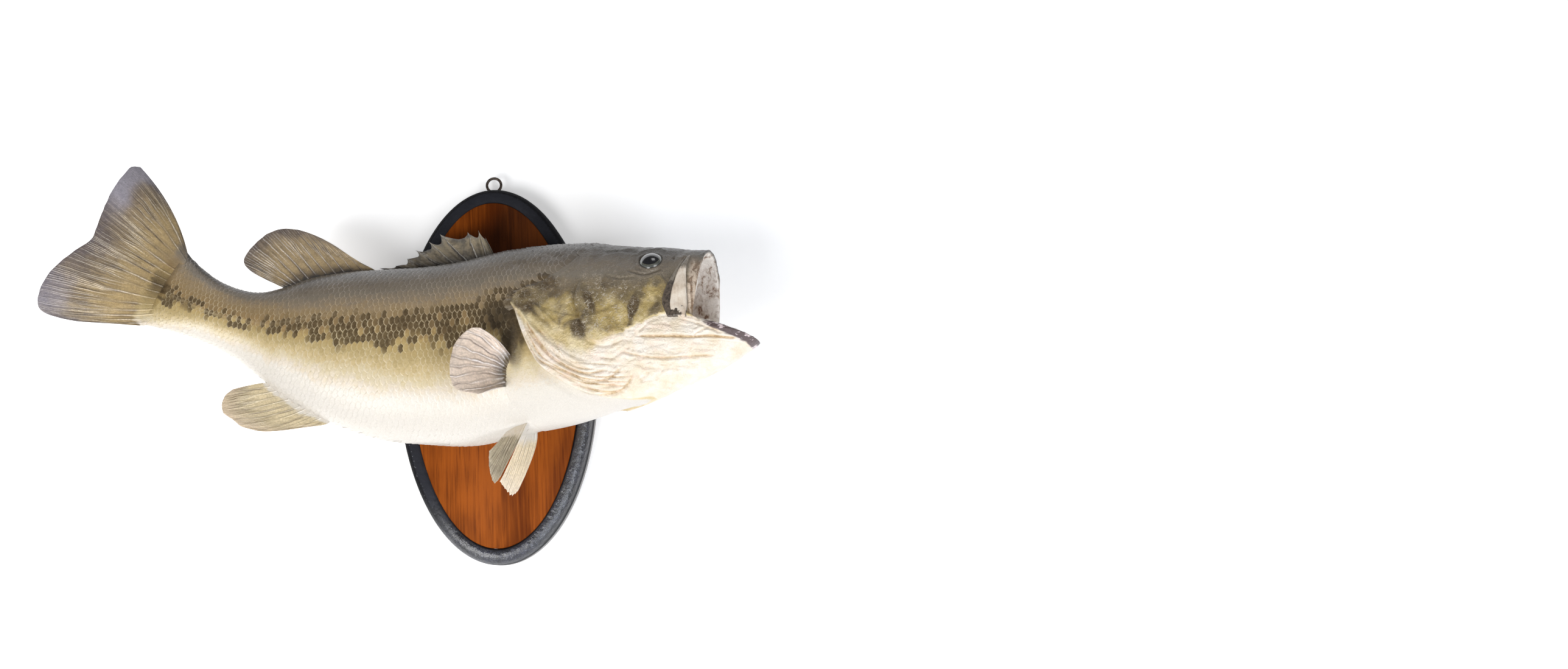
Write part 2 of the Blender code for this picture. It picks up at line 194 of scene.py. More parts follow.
def grid_faces(rows, columns, first=0, closed=False, flipped=False):
    """Quads of a grid of points that starts at some point number."""
    faces = []
    for i in range(rows - 1):
        for j in range(columns if closed else columns - 1):
            k = (j + 1) % columns
            near, far = first + i * columns, first + (i + 1) * columns
            quad = (near + j, near + k, far + k, far + j)
            faces.append(quad[::-1] if flipped else quad)
    return faces


def oval(half_width, half_height, inset, y):
    """Points round an oval, some way in from its outline."""
    angle = np.linspace(0.0, math.tau, OVAL_POINTS, endpoint=False)
    c, s = np.cos(angle), np.sin(angle)
    outward = np.stack([c / half_width, np.zeros_like(c), s / half_height], -1)
    outward /= np.linalg.norm(outward, axis=1)[:, None]
    points = np.stack([half_width * c, np.zeros_like(c), half_height * s], -1) - outward * inset
    points[:, 1] = y
    return points


def wood_grain_and_shadow_group():
    """Upright grain: broad stain clouds, dark growth lines and fine pores, and a painted shadow above the
    fish's back.
    """
    tree, given, result = new_group(
        "wood_grain_and_painted_shadow",
        [("Pale", "Color", (0.50, 0.15, 0.03, 1)), ("Dark", "Color", (0.2, 0.05, 0.01, 1))],
        [("Color", "Color"), ("Height", "Float")])
    bend = noise(tree, (22.0, 22.0, 7.0), 2.0)
    growth = noise(tree, GROWTH_LINES, 4.0, 0.6, 0.6)
    cloud = noise(tree, STAIN_CLOUDS, 3.0, 0.6, 0.4)
    pore = noise(tree, WOOD_PORES, 2.0)
    depth = plus(tree, times(tree, growth, 0.28), times(tree, cloud, 0.72), times(tree, bend, 0.12))
    body = mix(tree, remap(tree, depth, 0.42, 0.66), given["Dark"], given["Pale"])
    streak = remap(tree, growth, 0.36, 0.44, 1.0, 0.0)
    stained = remap(tree, noise(tree, (20.0, 20.0, 9.0), 2.0), 0.42, 0.60, 0.10, 0.55)
    body = mix(tree, times(tree, streak, stained), body, given["Dark"])
    body = mix(tree, remap(tree, pore, 0.60, 0.72, 0.0, 0.25), body, given["Dark"])
    # A painted shadow: the wood is painted darker in the corner above the fish's shoulder and in a band
    # just above its back, where the fish's shadow falls.
    x, _y, z = where(tree)
    slant = minus(tree, x, times(tree, z, 0.6))
    painted_shadow = times(tree, remap(tree, slant, -0.084, -0.062), remap(tree, z, 0.035, 0.065))
    edge = remap(tree, minus(tree, z, times(tree, x, 0.2)), 0.128, 0.112)
    edge = times(tree, edge, remap(tree, z, 0.035, 0.065, 0.0, 0.75))
    painted_shadow = times(tree, chained(tree, "MAXIMUM", (painted_shadow, edge)), PAINTED_SHADOW_SHARE)
    connect(tree, result, Color=mix(tree, painted_shadow, body, PAINTED_SHADOW_TINT), Height=plus(tree, growth, pore))
    return tree


wood, wood_tree, wood_shader = new_finish("varnished_wood", Roughness=0.5, Specular_IOR_Level=0.05)
grain_and_shadow = placed(wood_tree, wood_grain_and_shadow_group(),
               {"Pale": (0.325, 0.078, 0.0085, 1), "Dark": (0.100, 0.020, 0.0025, 1)})
connect(wood_tree, wood_shader, Base_Color=grain_and_shadow["Color"], Normal=bump(wood_tree, grain_and_shadow["Height"], 0.00008))

panel_half_width = (PANEL_HIGH.x - PANEL_LOW.x) / 2
panel_half_height = (PANEL_HIGH.z - PANEL_LOW.z) / 2
panel_rings = [oval(panel_half_width, panel_half_height, inset, y) for inset, y in (
    (0.0, PANEL_HIGH.y), (0.0, PANEL_LOW.y + PANEL_EDGE_ROUND), (PANEL_EDGE_ROUND, PANEL_LOW.y))]
panel_faces = grid_faces(3, OVAL_POINTS, closed=True)
panel_faces += [tuple(range(OVAL_POINTS))[::-1], tuple(range(2 * OVAL_POINTS, 3 * OVAL_POINTS))]
add_piece("board_panel_wood", panel_rings, panel_faces, wood, "board_wood", "board_panel")


# ----------------------------------------------------------------- board rim
# The rim is a turned moulding round the board, painted black. Its front has a
# flat inner band, painted slate grey as if lit while the outer side stays black as
# if in shade, and a rounded edge. Its paint is rubbed glossy and chipped, most of
# all low on the right; the rubbed paint carries a painted bluish sheen and the
# arris low down a painted highlight among the chips.
RIM_LOW, RIM_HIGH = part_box("board_rim")
RIM_WIDTH = 0.0125
RIM_INNER_ROUND, RIM_INNER_DEPTH = 0.0042, 0.0018
RIM_ROUND, RIM_ROUND_DEPTH = 0.0083, 0.0085
RIM_ARC_STEPS = 12
# Shares of the way across: the crest of the front, and where the side begins.
RIM_CREST, RIM_SIDE = 0.30, 0.70


def value(tree, label):
    """A named value of the mesh's points."""
    return node(tree, "Attribute", attribute_name=label).outputs["Fac"]


def give_values(mesh, values):
    """Named values on the points of a mesh, for its material to read."""
    for label, numbers in values.items():
        mesh.attributes.new(label, "FLOAT", "POINT").data.foreach_set("value", np.ravel(numbers))


def swing(tree, cloud, amount):
    """How far a cloud value swings from its middle, times an amount."""
    return times(tree, minus(tree, cloud, 0.5), amount)


def rim_paint_and_light_group():
    """Black paint with painted light: a slate front as if lit, a black outer side as if in shade, a bluish
    sheen where rubbed glossy low on the right, a highlight among chips on the arris; bare low on the right.
    """
    tree, given, result = new_group(
        "worn_paint_and_painted_light",
        [("Paint", "Color", (0.007, 0.007, 0.009, 1)), ("Lit Slate", "Color", (0.024, 0.025, 0.031, 1)),
         ("Rubbed Sheen", "Color", (0.058, 0.061, 0.094, 1)), ("Chipped Highlight", "Color", (0.40, 0.41, 0.45, 1)),
         ("Bare", "Color", (0.30, 0.29, 0.28, 1))],
        [("Color", "Color"), ("Roughness", "Float"), ("Gloss", "Float"), ("Height", "Float")])
    broad = noise(tree, 60.0, 3.0, 0.6)
    fine = noise(tree, 620.0, 4.0, 0.7)
    dents = noise(tree, 260.0, 2.0, 0.5)
    x, _y, z = where(tree)
    across = value(tree, "across")
    low_right = remap(tree, minus(tree, times(tree, x, 0.7), times(tree, z, 0.5)), -0.01, 0.06)
    rubbing = times(tree, low_right, remap(tree, across, 0.72, 0.52), remap(tree, across, 0.10, 0.24))
    worn = plus(tree, fine, times(tree, broad, 0.6))
    ragged = plus(tree, across, swing(tree, fine, 0.12))
    # Painted light: the front is painted slate grey as if lit, fading low on the right, while the outer
    # side stays black as if in shade.
    lit_front = times(tree, remap(tree, ragged, 0.46, 0.40), remap(tree, broad, 0.3, 0.7, 0.7, 1.0),
                  remap(tree, low_right, 0.0, 1.0, 1.0, 0.2))
    colour = mix(tree, lit_front, given["Paint"], given["Lit Slate"])
    # A painted highlight along the arris, low down, broken like chipped paint.
    arris_chips_and_highlight = times(tree, remap(tree, across, 0.38, 0.42), remap(tree, across, 0.48, 0.43),
                  remap(tree, fine, 0.58, 0.66, 0.0, 0.4), remap(tree, z, 0.03, -0.06))
    colour = mix(tree, arris_chips_and_highlight, colour, given["Chipped Highlight"])
    # Rubbed paint low on the right, painted with a bluish sheen.
    rubbed_and_sheen = times(tree, remap(tree, worn, 0.70, 1.0, 0.0, 0.45), rubbing)
    colour = mix(tree, rubbed_and_sheen, colour, given["Rubbed Sheen"])
    bare = times(tree, remap(tree, across, 0.80, 0.86), low_right)
    connect(tree, result, Color=mix(tree, bare, colour, given["Bare"]),
            Roughness=remap(tree, rubbing, 0.0, 1.0, 0.60, 0.21),
            Gloss=remap(tree, rubbing, 0.0, 1.0, 0.06, 1.0),
            Height=plus(tree, dents, times(tree, fine, 0.5)))
    return tree


black, black_tree, black_shader = new_finish("black_paint_worn_and_painted_light")
paint_coat = placed(black_tree, rim_paint_and_light_group())
connect(black_tree, black_shader, Base_Color=paint_coat["Color"], Roughness=paint_coat["Roughness"],
        Specular_IOR_Level=paint_coat["Gloss"], Normal=bump(black_tree, paint_coat["Height"], 0.0007))

rim_half_width = (RIM_HIGH.x - RIM_LOW.x) / 2
rim_half_height = (RIM_HIGH.z - RIM_LOW.z) / 2
# The profile goes from the back of the inner side over the front to the back
# of the outer side: how far in from the outline, how deep, and a share of it.
rim_profile = [(RIM_WIDTH, RIM_HIGH.y, 0.0)]
for i in range(RIM_ARC_STEPS + 1):
    turn = math.radians(90.0 * (1 - i / RIM_ARC_STEPS))
    rim_profile.append((RIM_WIDTH - RIM_INNER_ROUND * (1 - math.sin(turn)),
                        RIM_LOW.y + RIM_INNER_DEPTH * (1 - math.cos(turn)), RIM_CREST * i / RIM_ARC_STEPS))
for i in range(1, RIM_ARC_STEPS + 1):
    turn = math.radians(90.0 * i / RIM_ARC_STEPS)
    rim_profile.append((RIM_WIDTH - RIM_INNER_ROUND - RIM_ROUND * math.sin(turn),
                        RIM_LOW.y + RIM_ROUND_DEPTH * (1 - math.cos(turn)),
                        RIM_CREST + (RIM_SIDE - RIM_CREST) * i / RIM_ARC_STEPS))
for share in (0.02, 0.50, 1.0):
    side_depth = RIM_HIGH.y - RIM_LOW.y - RIM_ROUND_DEPTH
    rim_profile.append((0.0, RIM_LOW.y + RIM_ROUND_DEPTH + side_depth * share,
                        RIM_SIDE + (1 - RIM_SIDE) * share))
rim_points = [oval(rim_half_width, rim_half_height, inset, y) for inset, y, _share in rim_profile]
rim_faces = grid_faces(len(rim_profile), OVAL_POINTS, closed=True)
last_ring = (len(rim_profile) - 1) * OVAL_POINTS
rim_faces += [(last_ring + j, last_ring + (j + 1) % OVAL_POINTS, (j + 1) % OVAL_POINTS, j)
              for j in range(OVAL_POINTS)]
rim = add_piece("board_rim_moulding", rim_points, rim_faces, black, "rim_paint", "board_rim")
give_values(rim.data, {"across": np.repeat([share for _inset, _y, share in rim_profile], OVAL_POINTS)})


# -------------------------------------------------------------- hanging ring
# The board hangs by a ring of bronzed wire whose two ends meet at the bottom
# and go down together into the top of the rim.
RING_LOW, RING_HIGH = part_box("hanging_ring")
RING_WIRE = 0.0011
RING_SIDES, RING_STEPS = 14, 56
RING_GAP = math.radians(16.0)
LEG_APART, LEG_DROPS = 0.0010, (0.0045, 0.0022, 0.0008)


def ramp(tree, value, stops):
    """A colour ramp with (place, colour) stops."""
    made = node(tree, "ValToRGB", {0: value})
    band = made.color_ramp
    while len(band.elements) < len(stops):
        band.elements.new(1.0)
    for element, (place_on_band, colour) in zip(band.elements, stops):
        element.position = place_on_band
        element.color = (*colour, 1.0)
    return made.outputs[0]


def tube(path, radius, sides):
    """Points and faces of a round tube along a path in an upright plane."""
    path = np.asarray(path, float)
    ahead = np.gradient(path, axis=0)
    ahead /= np.linalg.norm(ahead, axis=1)[:, None]
    across = np.cross(ahead, (0.0, 1.0, 0.0))
    across /= np.linalg.norm(across, axis=1)[:, None]
    other = np.cross(ahead, across)
    turn = np.linspace(0.0, math.tau, sides, endpoint=False)
    ring = across[:, None] * np.cos(turn)[None, :, None] + other[:, None] * np.sin(turn)[None, :, None]
    faces = grid_faces(len(path), sides, closed=True)
    faces += [tuple(range(sides))[::-1], tuple(range((len(path) - 1) * sides, len(path) * sides))]
    return path[:, None] + ring * radius, faces


bronze, bronze_tree, bronze_shader = new_finish("bronzed_wire", Metallic=0.85)
patina = noise(bronze_tree, 700.0, 4.0, 0.6)
connect(bronze_tree, bronze_shader,
        Base_Color=ramp(bronze_tree, patina, [(0.3, (0.035, 0.025, 0.022)), (0.6, (0.11, 0.085, 0.07)),
                                              (0.8, (0.22, 0.18, 0.15))]),
        Roughness=remap(bronze_tree, patina, 0.3, 0.7, 0.30, 0.5),
        Normal=bump(bronze_tree, patina, 0.0001))

ring_middle = np.array([(RING_LOW.x + RING_HIGH.x) / 2, (RING_LOW.y + RING_HIGH.y) / 2,
                        RING_HIGH.z - (RING_HIGH.x - RING_LOW.x) / 2])
ring_radius = (RING_HIGH.x - RING_LOW.x) / 2 - RING_WIRE
ring_path = []
for i in range(RING_STEPS + 1):
    turn = -math.pi / 2 + RING_GAP + (math.tau - 2 * RING_GAP) * i / RING_STEPS
    ring_path.append(ring_middle + ring_radius * np.array([math.cos(turn), 0.0, math.sin(turn)]))
foot = ring_middle - np.array([0.0, 0.0, ring_radius])
legs = [foot + np.array([LEG_APART, 0.0, -drop]) for drop in LEG_DROPS]
ring_path = legs + ring_path + [leg * (-1.0, 1.0, 1.0) for leg in legs[::-1]]
ring_points, ring_faces = tube(ring_path, RING_WIRE, RING_SIDES)
add_piece("hanging_ring_wire", ring_points, ring_faces, bronze, "ring_bronze", "hanging_ring", crease=80.0)


# ----------------------------------------------------------------- fish skin
# The real skin, tanned, stretched over a carved body and painted: grey-brown
# above, tan on the flank, cream below, gold-olive on the cheek and ivory on the
# jaw. It runs from the tail root over the lips into the mouth without a seam.
MM = 0.001

# The body is laid out straight in millimetres first: along (to the head),
# height, and across (to the right). place() rolls, bends and leans it.
STRAIGHT_AT = -40.0
SPINE_FROM_WALL = 65.5
HEAD_TURN, HEAD_TURN_RUN = math.radians(17.0), 100.0
TAIL_TURN, TAIL_TURN_RUN = math.radians(16.0), 240.0
ROLL, TAIL_ROLL = math.radians(10.0), math.radians(3.0)
ROLL_START, ROLL_END = -280.0, -100.0
ROLL_AXIS_HEIGHT = 20.0
LEAN = math.radians(3.2)
SHIFT_ALONG, SHIFT_UP = 3.3, -6.2
BOARD_FACE = PANEL_LOW.y - 0.0003

# From the tail root to the throat: along and height on the back, along and
# height on the side, half width, along and height on the belly, and how round
# the upper and lower quarters are.
SECTIONS = (
    (-231, 91, -246, 61, 3.0, -258, 32, 1.00, 1.00),
    (-217, 77, -228, 52, 8.5, -238, 28, 1.00, 1.00),
    (-199, 66, -208, 42, 13.0, -215, 21, 1.00, 1.00),
    (-177, 61, -184, 36, 17.5, -190, 8, 0.98, 1.00),
    (-156, 66, -163, 32, 22.5, -168, -9, 0.98, 1.00),
    (-137, 74, -143, 30, 28.0, -149, -23, 0.98, 1.00),
    (-109, 79, -114, 28, 34.5, -118, -40, 0.96, 0.98),
    (-79, 81, -80, 26, 39.5, -80, -53, 0.95, 0.95),
    (-49, 83, -46, 26, 42.5, -44, -57, 0.94, 0.92),
    (-19, 88, -10, 27, 43.5, -4, -58, 0.94, 0.92),
    (13, 96, 25, 29, 43.5, 34, -50, 0.94, 0.92),
    (45, 99, 58, 31, 42.0, 72, -44, 0.94, 0.95),
    (81, 98, 91, 34, 41.0, 104, -36, 0.96, 1.00),
    (116, 93, 122, 37, 38.5, 136, -28, 1.00, 1.00),
    (145, 90, 149, 39, 34.5, 160, -18, 1.00, 1.00),
    (162, 88, 163, 36, 31.0, 190, -5, 0.96, 0.98),
    (173, 87, 174, 26, 28.5, 216, 11, 0.93, 1.00),
    (175, 84, 176, 27, 26.5, 216, 16, 0.93, 1.00),
    (172, 81, 173, 28, 24.0, 210, 16, 0.93, 1.00),
    (156, 75, 155, 33, 21.0, 172, 8, 1.00, 1.00),
    (136, 67, 134, 35, 18.0, 145, 8, 1.00, 1.00),
    (112, 57, 112, 36, 13.0, 118, 16, 1.00, 1.00),
    (96, 46, 96, 38, 6.0, 98, 30, 1.00, 1.00),
)
THROAT_END = len(SECTIONS) - 1.0
RIGHT, LEFT = 1, -1


def smooth_along(rows, position):
    """Points on the smooth curve through rows of numbers, at row numbers."""
    rows = np.asarray(rows, float)
    position = np.asarray(position, float)
    last = len(rows) - 1
    start = np.clip(position.astype(int), 0, last - 1)
    step = (position - start)[..., None]
    a, b, c = rows[np.maximum(start - 1, 0)], rows[start], rows[start + 1]
    d = rows[np.minimum(start + 2, last)]
    bend = 2 * a - 5 * b + 4 * c - d
    return 0.5 * (2 * b + step * ((c - a) + step * (bend + step * (3 * (b - c) + d - a))))


def spread(rows, count):
    """Points at even steps along the smooth curve through some rows."""
    return smooth_along(rows, np.linspace(0.0, len(rows) - 1.0, count))


def ease(value, low, high):
    """0 below low, 1 above high, and smooth between them."""
    share = np.clip((np.asarray(value, float) - low) / (high - low), 0.0, 1.0)
    return share * share * (3 - 2 * share)


def place(along, height, across):
    """Points of the straight fish, rolled, bent and set on the board."""
    along, height, across = (np.asarray(v, float) for v in (along, height, across))
    past = along - STRAIGHT_AT
    radius = np.where(past >= 0, HEAD_TURN_RUN / HEAD_TURN, TAIL_TURN_RUN / TAIL_TURN)
    bent = np.where(past >= 0, np.minimum(past, HEAD_TURN_RUN), -past)
    turn = bent / radius
    straight = np.abs(past) - bent
    side = np.where(past >= 0, 1.0, -1.0)
    x = STRAIGHT_AT + side * (radius * np.sin(turn) + straight * np.cos(turn))
    from_wall = SPINE_FROM_WALL + radius * (1 - np.cos(turn)) + straight * np.sin(turn)
    turn = side * turn
    roll = TAIL_ROLL + (ROLL - TAIL_ROLL) * ease(along, ROLL_START, ROLL_END)
    rise = height - ROLL_AXIS_HEIGHT
    out = across * np.cos(roll) - rise * np.sin(roll)
    up = ROLL_AXIS_HEIGHT + rise * np.cos(roll) + across * np.sin(roll)
    x = x - out * np.sin(turn)
    y = -(from_wall + out * np.cos(turn)) * MM
    on_board_x = x * math.cos(LEAN) + up * math.sin(LEAN) + SHIFT_ALONG
    on_board_z = up * math.cos(LEAN) - x * math.sin(LEAN) + SHIFT_UP
    return np.stack([on_board_x * MM, np.minimum(y, BOARD_FACE), on_board_z * MM], -1)


def section_point(number, angle):
    """Points of the straight fish, at angles round from the back."""
    row = smooth_along(SECTIONS, number)
    toward = np.cos(angle)
    above = toward >= 0
    round_off = np.where(above, row[..., 7], row[..., 8])
    end_along = np.where(above, row[..., 0], row[..., 5])
    end_height = np.where(above, row[..., 1], row[..., 6])
    reach = np.abs(toward) ** round_off
    across = row[..., 4] * np.sign(np.sin(angle)) * np.abs(np.sin(angle)) ** round_off
    along = row[..., 2] + (end_along - row[..., 2]) * reach
    height = row[..., 3] + (end_height - row[..., 3]) * reach
    return along, height, across


def skin_at(number, angle, lift=None):
    """Points on the mounted skin, lifted off it by some millimetres."""
    point = place(*section_point(number, angle))
    if lift is None:
        return point
    step = 0.02
    ahead = place(*section_point(np.minimum(number + step, THROAT_END), angle))
    behind = place(*section_point(np.maximum(number - step, 0.0), angle))
    round_on = place(*section_point(number, angle + step))
    round_back = place(*section_point(number, angle - step))
    normal = np.cross(round_on - round_back, ahead - behind)
    normal /= np.maximum(np.linalg.norm(normal, axis=-1), 1e-12)[..., None]
    return point + normal * np.asarray(lift, float)[..., None] * MM


def on_flank(along, height):
    """Section number and angle of right-side points seen side on."""
    along, height = np.asarray(along, float), np.asarray(height, float)
    number, angle, step = np.full(along.shape, 12.0), np.full(along.shape, math.pi / 2), 0.001
    for _ in range(60):
        a, h, _across = section_point(number, angle)
        a_n, h_n, _across = section_point(number + step, angle)
        a_g, h_g, _across = section_point(number, angle + step)
        grid = (a_n - a, a_g - a, h_n - h, h_g - h)
        size = (grid[0] * grid[3] - grid[1] * grid[2]) / step
        off_along, off_height = along - a, height - h
        number_step = (off_along * grid[3] - off_height * grid[1]) / size
        angle_step = (off_height * grid[0] - off_along * grid[2]) / size
        number = np.clip(number + np.clip(number_step, -0.5, 0.5), 1.0, 16.0)
        angle = np.clip(angle + np.clip(angle_step, -0.2, 0.2), math.radians(8.0), math.radians(172.0))
    return number, angle


def nearest_on(path, along, height):
    """How far places lie from a curve seen side on (below 0 on its right-hand
    side), and where along it, from 0 to 1."""
    points = spread(path, 6 * len(path))
    distance, run, side = np.full(along.shape, 1e6), np.zeros(along.shape), np.ones(along.shape)
    for k, (start, end) in enumerate(zip(points, points[1:])):
        step_a, step_h = end - start
        share = ((along - start[0]) * step_a + (height - start[1]) * step_h) / (step_a ** 2 + step_h ** 2)
        share = np.clip(share, 0.0, 1.0)
        off_a = along - start[0] - share * step_a
        off_h = height - start[1] - share * step_h
        away = np.hypot(off_a, off_h)
        nearer = away < distance
        distance = np.where(nearer, away, distance)
        run = np.where(nearer, (k + share) / (len(points) - 1), run)
        side = np.where(nearer, np.sign(step_a * off_h - step_h * off_a), side)
    return distance * side, run


def ends_faded(run, first=0.12, last=0.12):
    """1 along a curve, easing to 0 at its two ends."""
    return ease(run, 0.0, first) * ease(1 - run, 0.0, last)


def hump(off, width):
    """1 in the middle, falling off smoothly within a width."""
    return np.exp(-(off / width) ** 2)


# Under the skin of the head lie the bones of the gill cover, the cheek and the
# lower jaw, and the gill rays. They show as edges, ridges and folds, the same
# on both sides. Curves are along and height, in millimetres, seen side on.
FLAP_EDGE = ((60, 57), (50, 52.5), (38, 47.2), (33.5, 38), (38, 31.8), (44.9, 17.5), (54, 1.5),
             (65.4, -12), (81.4, -21.7), (99.7, -28), (122, -29.5), (140, -27))
COAT_END = ((92, 101), (86, 88), (78, 74), (66, 62)) + FLAP_EDGE[1:]
BARE_EDGE = COAT_END[:4] + ((50, 52.5), (38, 47.2), (33, 38), (34, 28), (36, 14), (33, 2), (31, -10),
                            (31, -24), (36, -36), (48, -47), (62, -56), (80, -62))
CREAM_EDGE = ((34, 37), (45, 28), (52.5, 22), (61, 17.5), (68, 15.5), (76, 12), (83.5, 8), (90, 4.5),
              (97, 3.5), (101.5, 6), (108, 10), (120, 13), (127, 15), (133, 17), (137.7, 19),
              (142, 22), (146, 25), (155, 26.2), (176, 26))
CHEEK_EDGE = ((91.5, 57), (88, 50), (86.8, 44.4), (87.3, 36), (91.2, 29.8), (94.6, 19), (96, 14.5),
              (99.5, 9), (103.1, 7.1), (109, 5), (115.3, 5.5), (121, 7.2), (125.9, 9.7), (129.6, 12.5))
JAW_CORNER = ((126.6, 12.5), (131, 15.4), (135.5, 14.2), (139.9, 17.7), (142.9, 22.1), (146.3, 24.8),
              (152.9, 26.2), (164, 25.4), (176, 24.6), (187, 21), (196, 17), (206, 14))
JAW_GROOVE = ((135.5, 10.3), (150.8, 10.6), (163.8, 10.8), (176.8, 10.6), (187.5, 11.3), (197.8, 10.7),
              (207.6, 11))
EYE_PLACE = (139, 71)

# Ridges and folds: the curve, its height (or depth, if below 0), its width and
# how much tan glaze has settled in it, painted also as shade in the crease.
FOLDS = (
    (((54, 37.9), (60, 32), (67.5, 26.2), (72, 22), (77, 18.1)), 1.2, 1.0, 0.0),
    (((50, 36.5), (57, 30), (64, 24.5), (71, 18.5)), -0.7, 1.0, 0.0),
    (((36, 37), (45.2, 29.3), (51.4, 22), (61.3, 13.5), (68.8, 7), (77.4, 1.1), (87.5, -4.6),
      (96.4, -8.4), (107.6, -9.6)), 1.2, 1.3, 0.0),
    (((38, 33), (47.5, 24.5), (56, 14.5), (64, 6.5), (73, -0.5), (83, -6.3), (92, -10.8), (102, -12.2)),
     -1.1, 0.9, 0.45),
    (((44, 27), (56.1, 11.8), (64.1, 4.4), (71.2, -2.3), (80.4, -8.3), (89.2, -12.5), (98.1, -14.5),
      (107.1, -13.6), (114.2, -11.2)), -1.3, 0.8, 0.8),
    (((50, 9), (61.8, -5.1), (71.1, -9.5), (80.1, -12.9), (88.9, -16.1), (95.2, -19.2), (106.2, -19.4),
      (115.6, -16.6), (120.7, -12.7), (123.2, -10.4)), -1.3, 0.8, 0.7),
    (((75, -13), (88, -19.5), (100, -23), (112, -22.5), (120, -19)), -0.9, 0.8, 0.4),
    (((89.6, -25.4), (99.8, -27.7), (113.1, -26.5), (120.2, -24.6), (125.4, -21.6), (128.9, -17.9),
      (130.5, -14.1)), -1.1, 0.8, 0.8),
    (((134.4, -19.8), (139.5, -16), (142.2, -12.9)), -0.9, 0.8, 0.5),
    (((145, -18), (149.2, -14.2), (151.9, -11.1)), -0.9, 0.8, 0.4),
    (((76.7, 30.4), (80.6, 38.2), (84.4, 45.4)), 0.8, 0.8, 0.0),
    (((88.5, 54.5), (92.7, 40.9), (95.9, 29.6), (99, 21)), 0.9, 1.1, 0.0),
    (((104, 52), (110, 44), (113, 36)), 0.4, 1.2, 0.0),
    (((124.2, 0.5), (130.7, -1.9), (141.4, -3.6), (154, -3.9), (166.8, -2.6), (179.4, -1.5),
      (193.9, -0.3)), -0.9, 0.8, 0.7),
    (((108, -3), (117, -4.5), (124, -1), (130, 3)), -0.8, 1.1, 0.3),
    (((112, 0), (118, 2), (124, 6.5), (127, 11)), 0.7, 1.3, 0.0),
    (((176, 11), (182, 15), (188, 17), (196, 14.5)), -0.6, 0.9, 0.6),
    (((136, 12.5), (141, 17), (146, 21.5), (152, 23.5)), -0.5, 0.8, 0.4),
    (((166, 23.5), (178, 20.5), (188, 16.5), (197, 13)), -0.6, 0.8, 0.5),
    (((150, -8), (165, -7), (180, -5)), -0.6, 1.0, 0.3),
    (((130, -8), (146, -10.5), (160, -9.5), (172, -7.5)), -0.6, 0.9, 0.4),
    (((108, 58), (120, 55), (132, 56)), -0.5, 1.0, 0.0),
    (((124, 62), (133, 58.8), (141, 59), (149, 63)), -0.7, 0.9, 0.0),
    (((126, 78), (131, 83), (139, 85), (147, 82)), 0.8, 1.2, 0.0),
    (((100, 80), (116, 82), (128, 79)), -0.6, 1.2, 0.0),
    (((150, 60), (155, 52), (158, 46)), -0.4, 1.0, 0.0),
)
# Soft marks on the head: centre, half length, half height, tilt and strength.
DARK_MARKS = (
    (92, 14, 7.5, 10, 10, 1.0), (48, 31, 6, 12, -38, 0.9), (99, 36, 4.0, 12, 25, 0.9),
    (96.5, 25, 3, 5, 0, 0.6), (132, 31, 3.2, 13, -4, 1.1), (131, 16, 2.6, 4, 0, 0.9),
    (60, 56, 18, 9, -12, 0.9), (45, 44, 9, 7, 0, 0.8), (72, 46, 8, 5, 25, 0.5),
    # The marks at 37 and 22 along, behind the gill cover, are partly the fish's dark colour and partly
    # painted shade in the pocket under the flap.
    (37, 13, 10, 29, -10, 1.25), (22, 38, 14, 15, 20, 0.8), (110, 52, 7, 8, -20, 0.6),
    (124, 46, 5, 7, -15, 0.4), (79, 24, 2.6, 10, -30, 0.45), (151, 33, 4, 9, 10, 0.5),
    (57, 38, 5, 4, 0, 0.5), (104, 4, 9, 2, -14, 0.5), (84, -1, 8, 2.5, -36, 0.3),
    (87, 40, 2.4, 10, 8, 0.5),
)
GOLD_MARKS = (
    (68, 29, 12, 10, -38, 1.0), (83, 36, 5, 10, -10, 0.7), (86, 24, 8, 6, 0, 1.0),
    (117, 24, 15, 12, -25, 0.9), (144, 40, 8, 20, -20, 1.0), (106, 12, 14, 6, -12, 1.0),
    (82, 10, 15, 8, -40, 0.8), (57, 22, 6, 8, -45, 0.6), (140, 25, 6, 7, 0, 0.9),
    (122, 16, 8, 6, 20, 0.9),
)
# Painted shade behind the gill cover, and darkening along the top of the head and round the eye.
SHADES = (
    (24, 28, 17, 14, 0, 0.95), (35, 12, 9, 15, -15, 1.0), (43, -1, 6, 12, -8, 0.75),
    (75, 82, 40, 13, 0, 0.3), (139, 71, 14, 13, 0, 0.5),
)
# Tones from the back (0) to the belly (1), and where along the body each
# number of the dark band and of the back's edge holds, by section number.
BODY_TONES = (
    (0.00, (0.062, 0.056, 0.049)), (0.20, (0.084, 0.074, 0.062)), (0.31, (0.190, 0.155, 0.115)),
    (0.37, (0.215, 0.182, 0.138)), (0.42, (0.270, 0.210, 0.140)), (0.446, (0.305, 0.222, 0.126)),
    (0.48, (0.285, 0.200, 0.100)), (0.52, (0.285, 0.187, 0.085)), (0.556, (0.450, 0.325, 0.135)),
    (0.594, (0.440, 0.335, 0.155)), (0.633, (0.560, 0.435, 0.225)), (0.672, (0.620, 0.520, 0.330)),
    (0.711, (0.660, 0.570, 0.445)), (0.75, (0.675, 0.625, 0.545)), (0.83, (0.650, 0.608, 0.545)),
    (1.00, (0.610, 0.570, 0.515)))
BACK_TONE, LINE_TONE, LINE_AT = 0.42, 0.54, 97
BACK_EDGE = (0.0, 2.0, 3.5, 5.0, 10.0, 12.0, 13.5), (48, 50, 60, 74, 72, 76, 80)
BAND_MIDDLE = (0, 3, 6, 9, 10.4), (93, 95, 94, 91, 89)
BAND_HALF = (0, 2, 4, 6, 9, 10.4), (13, 10, 9, 10, 12, 18)
BAND_STRENGTH = (0, 1, 2, 4, 5.5, 10.3, 10.9), (1.2, 1.0, 0.95, 0.95, 1, 1, 0.6)
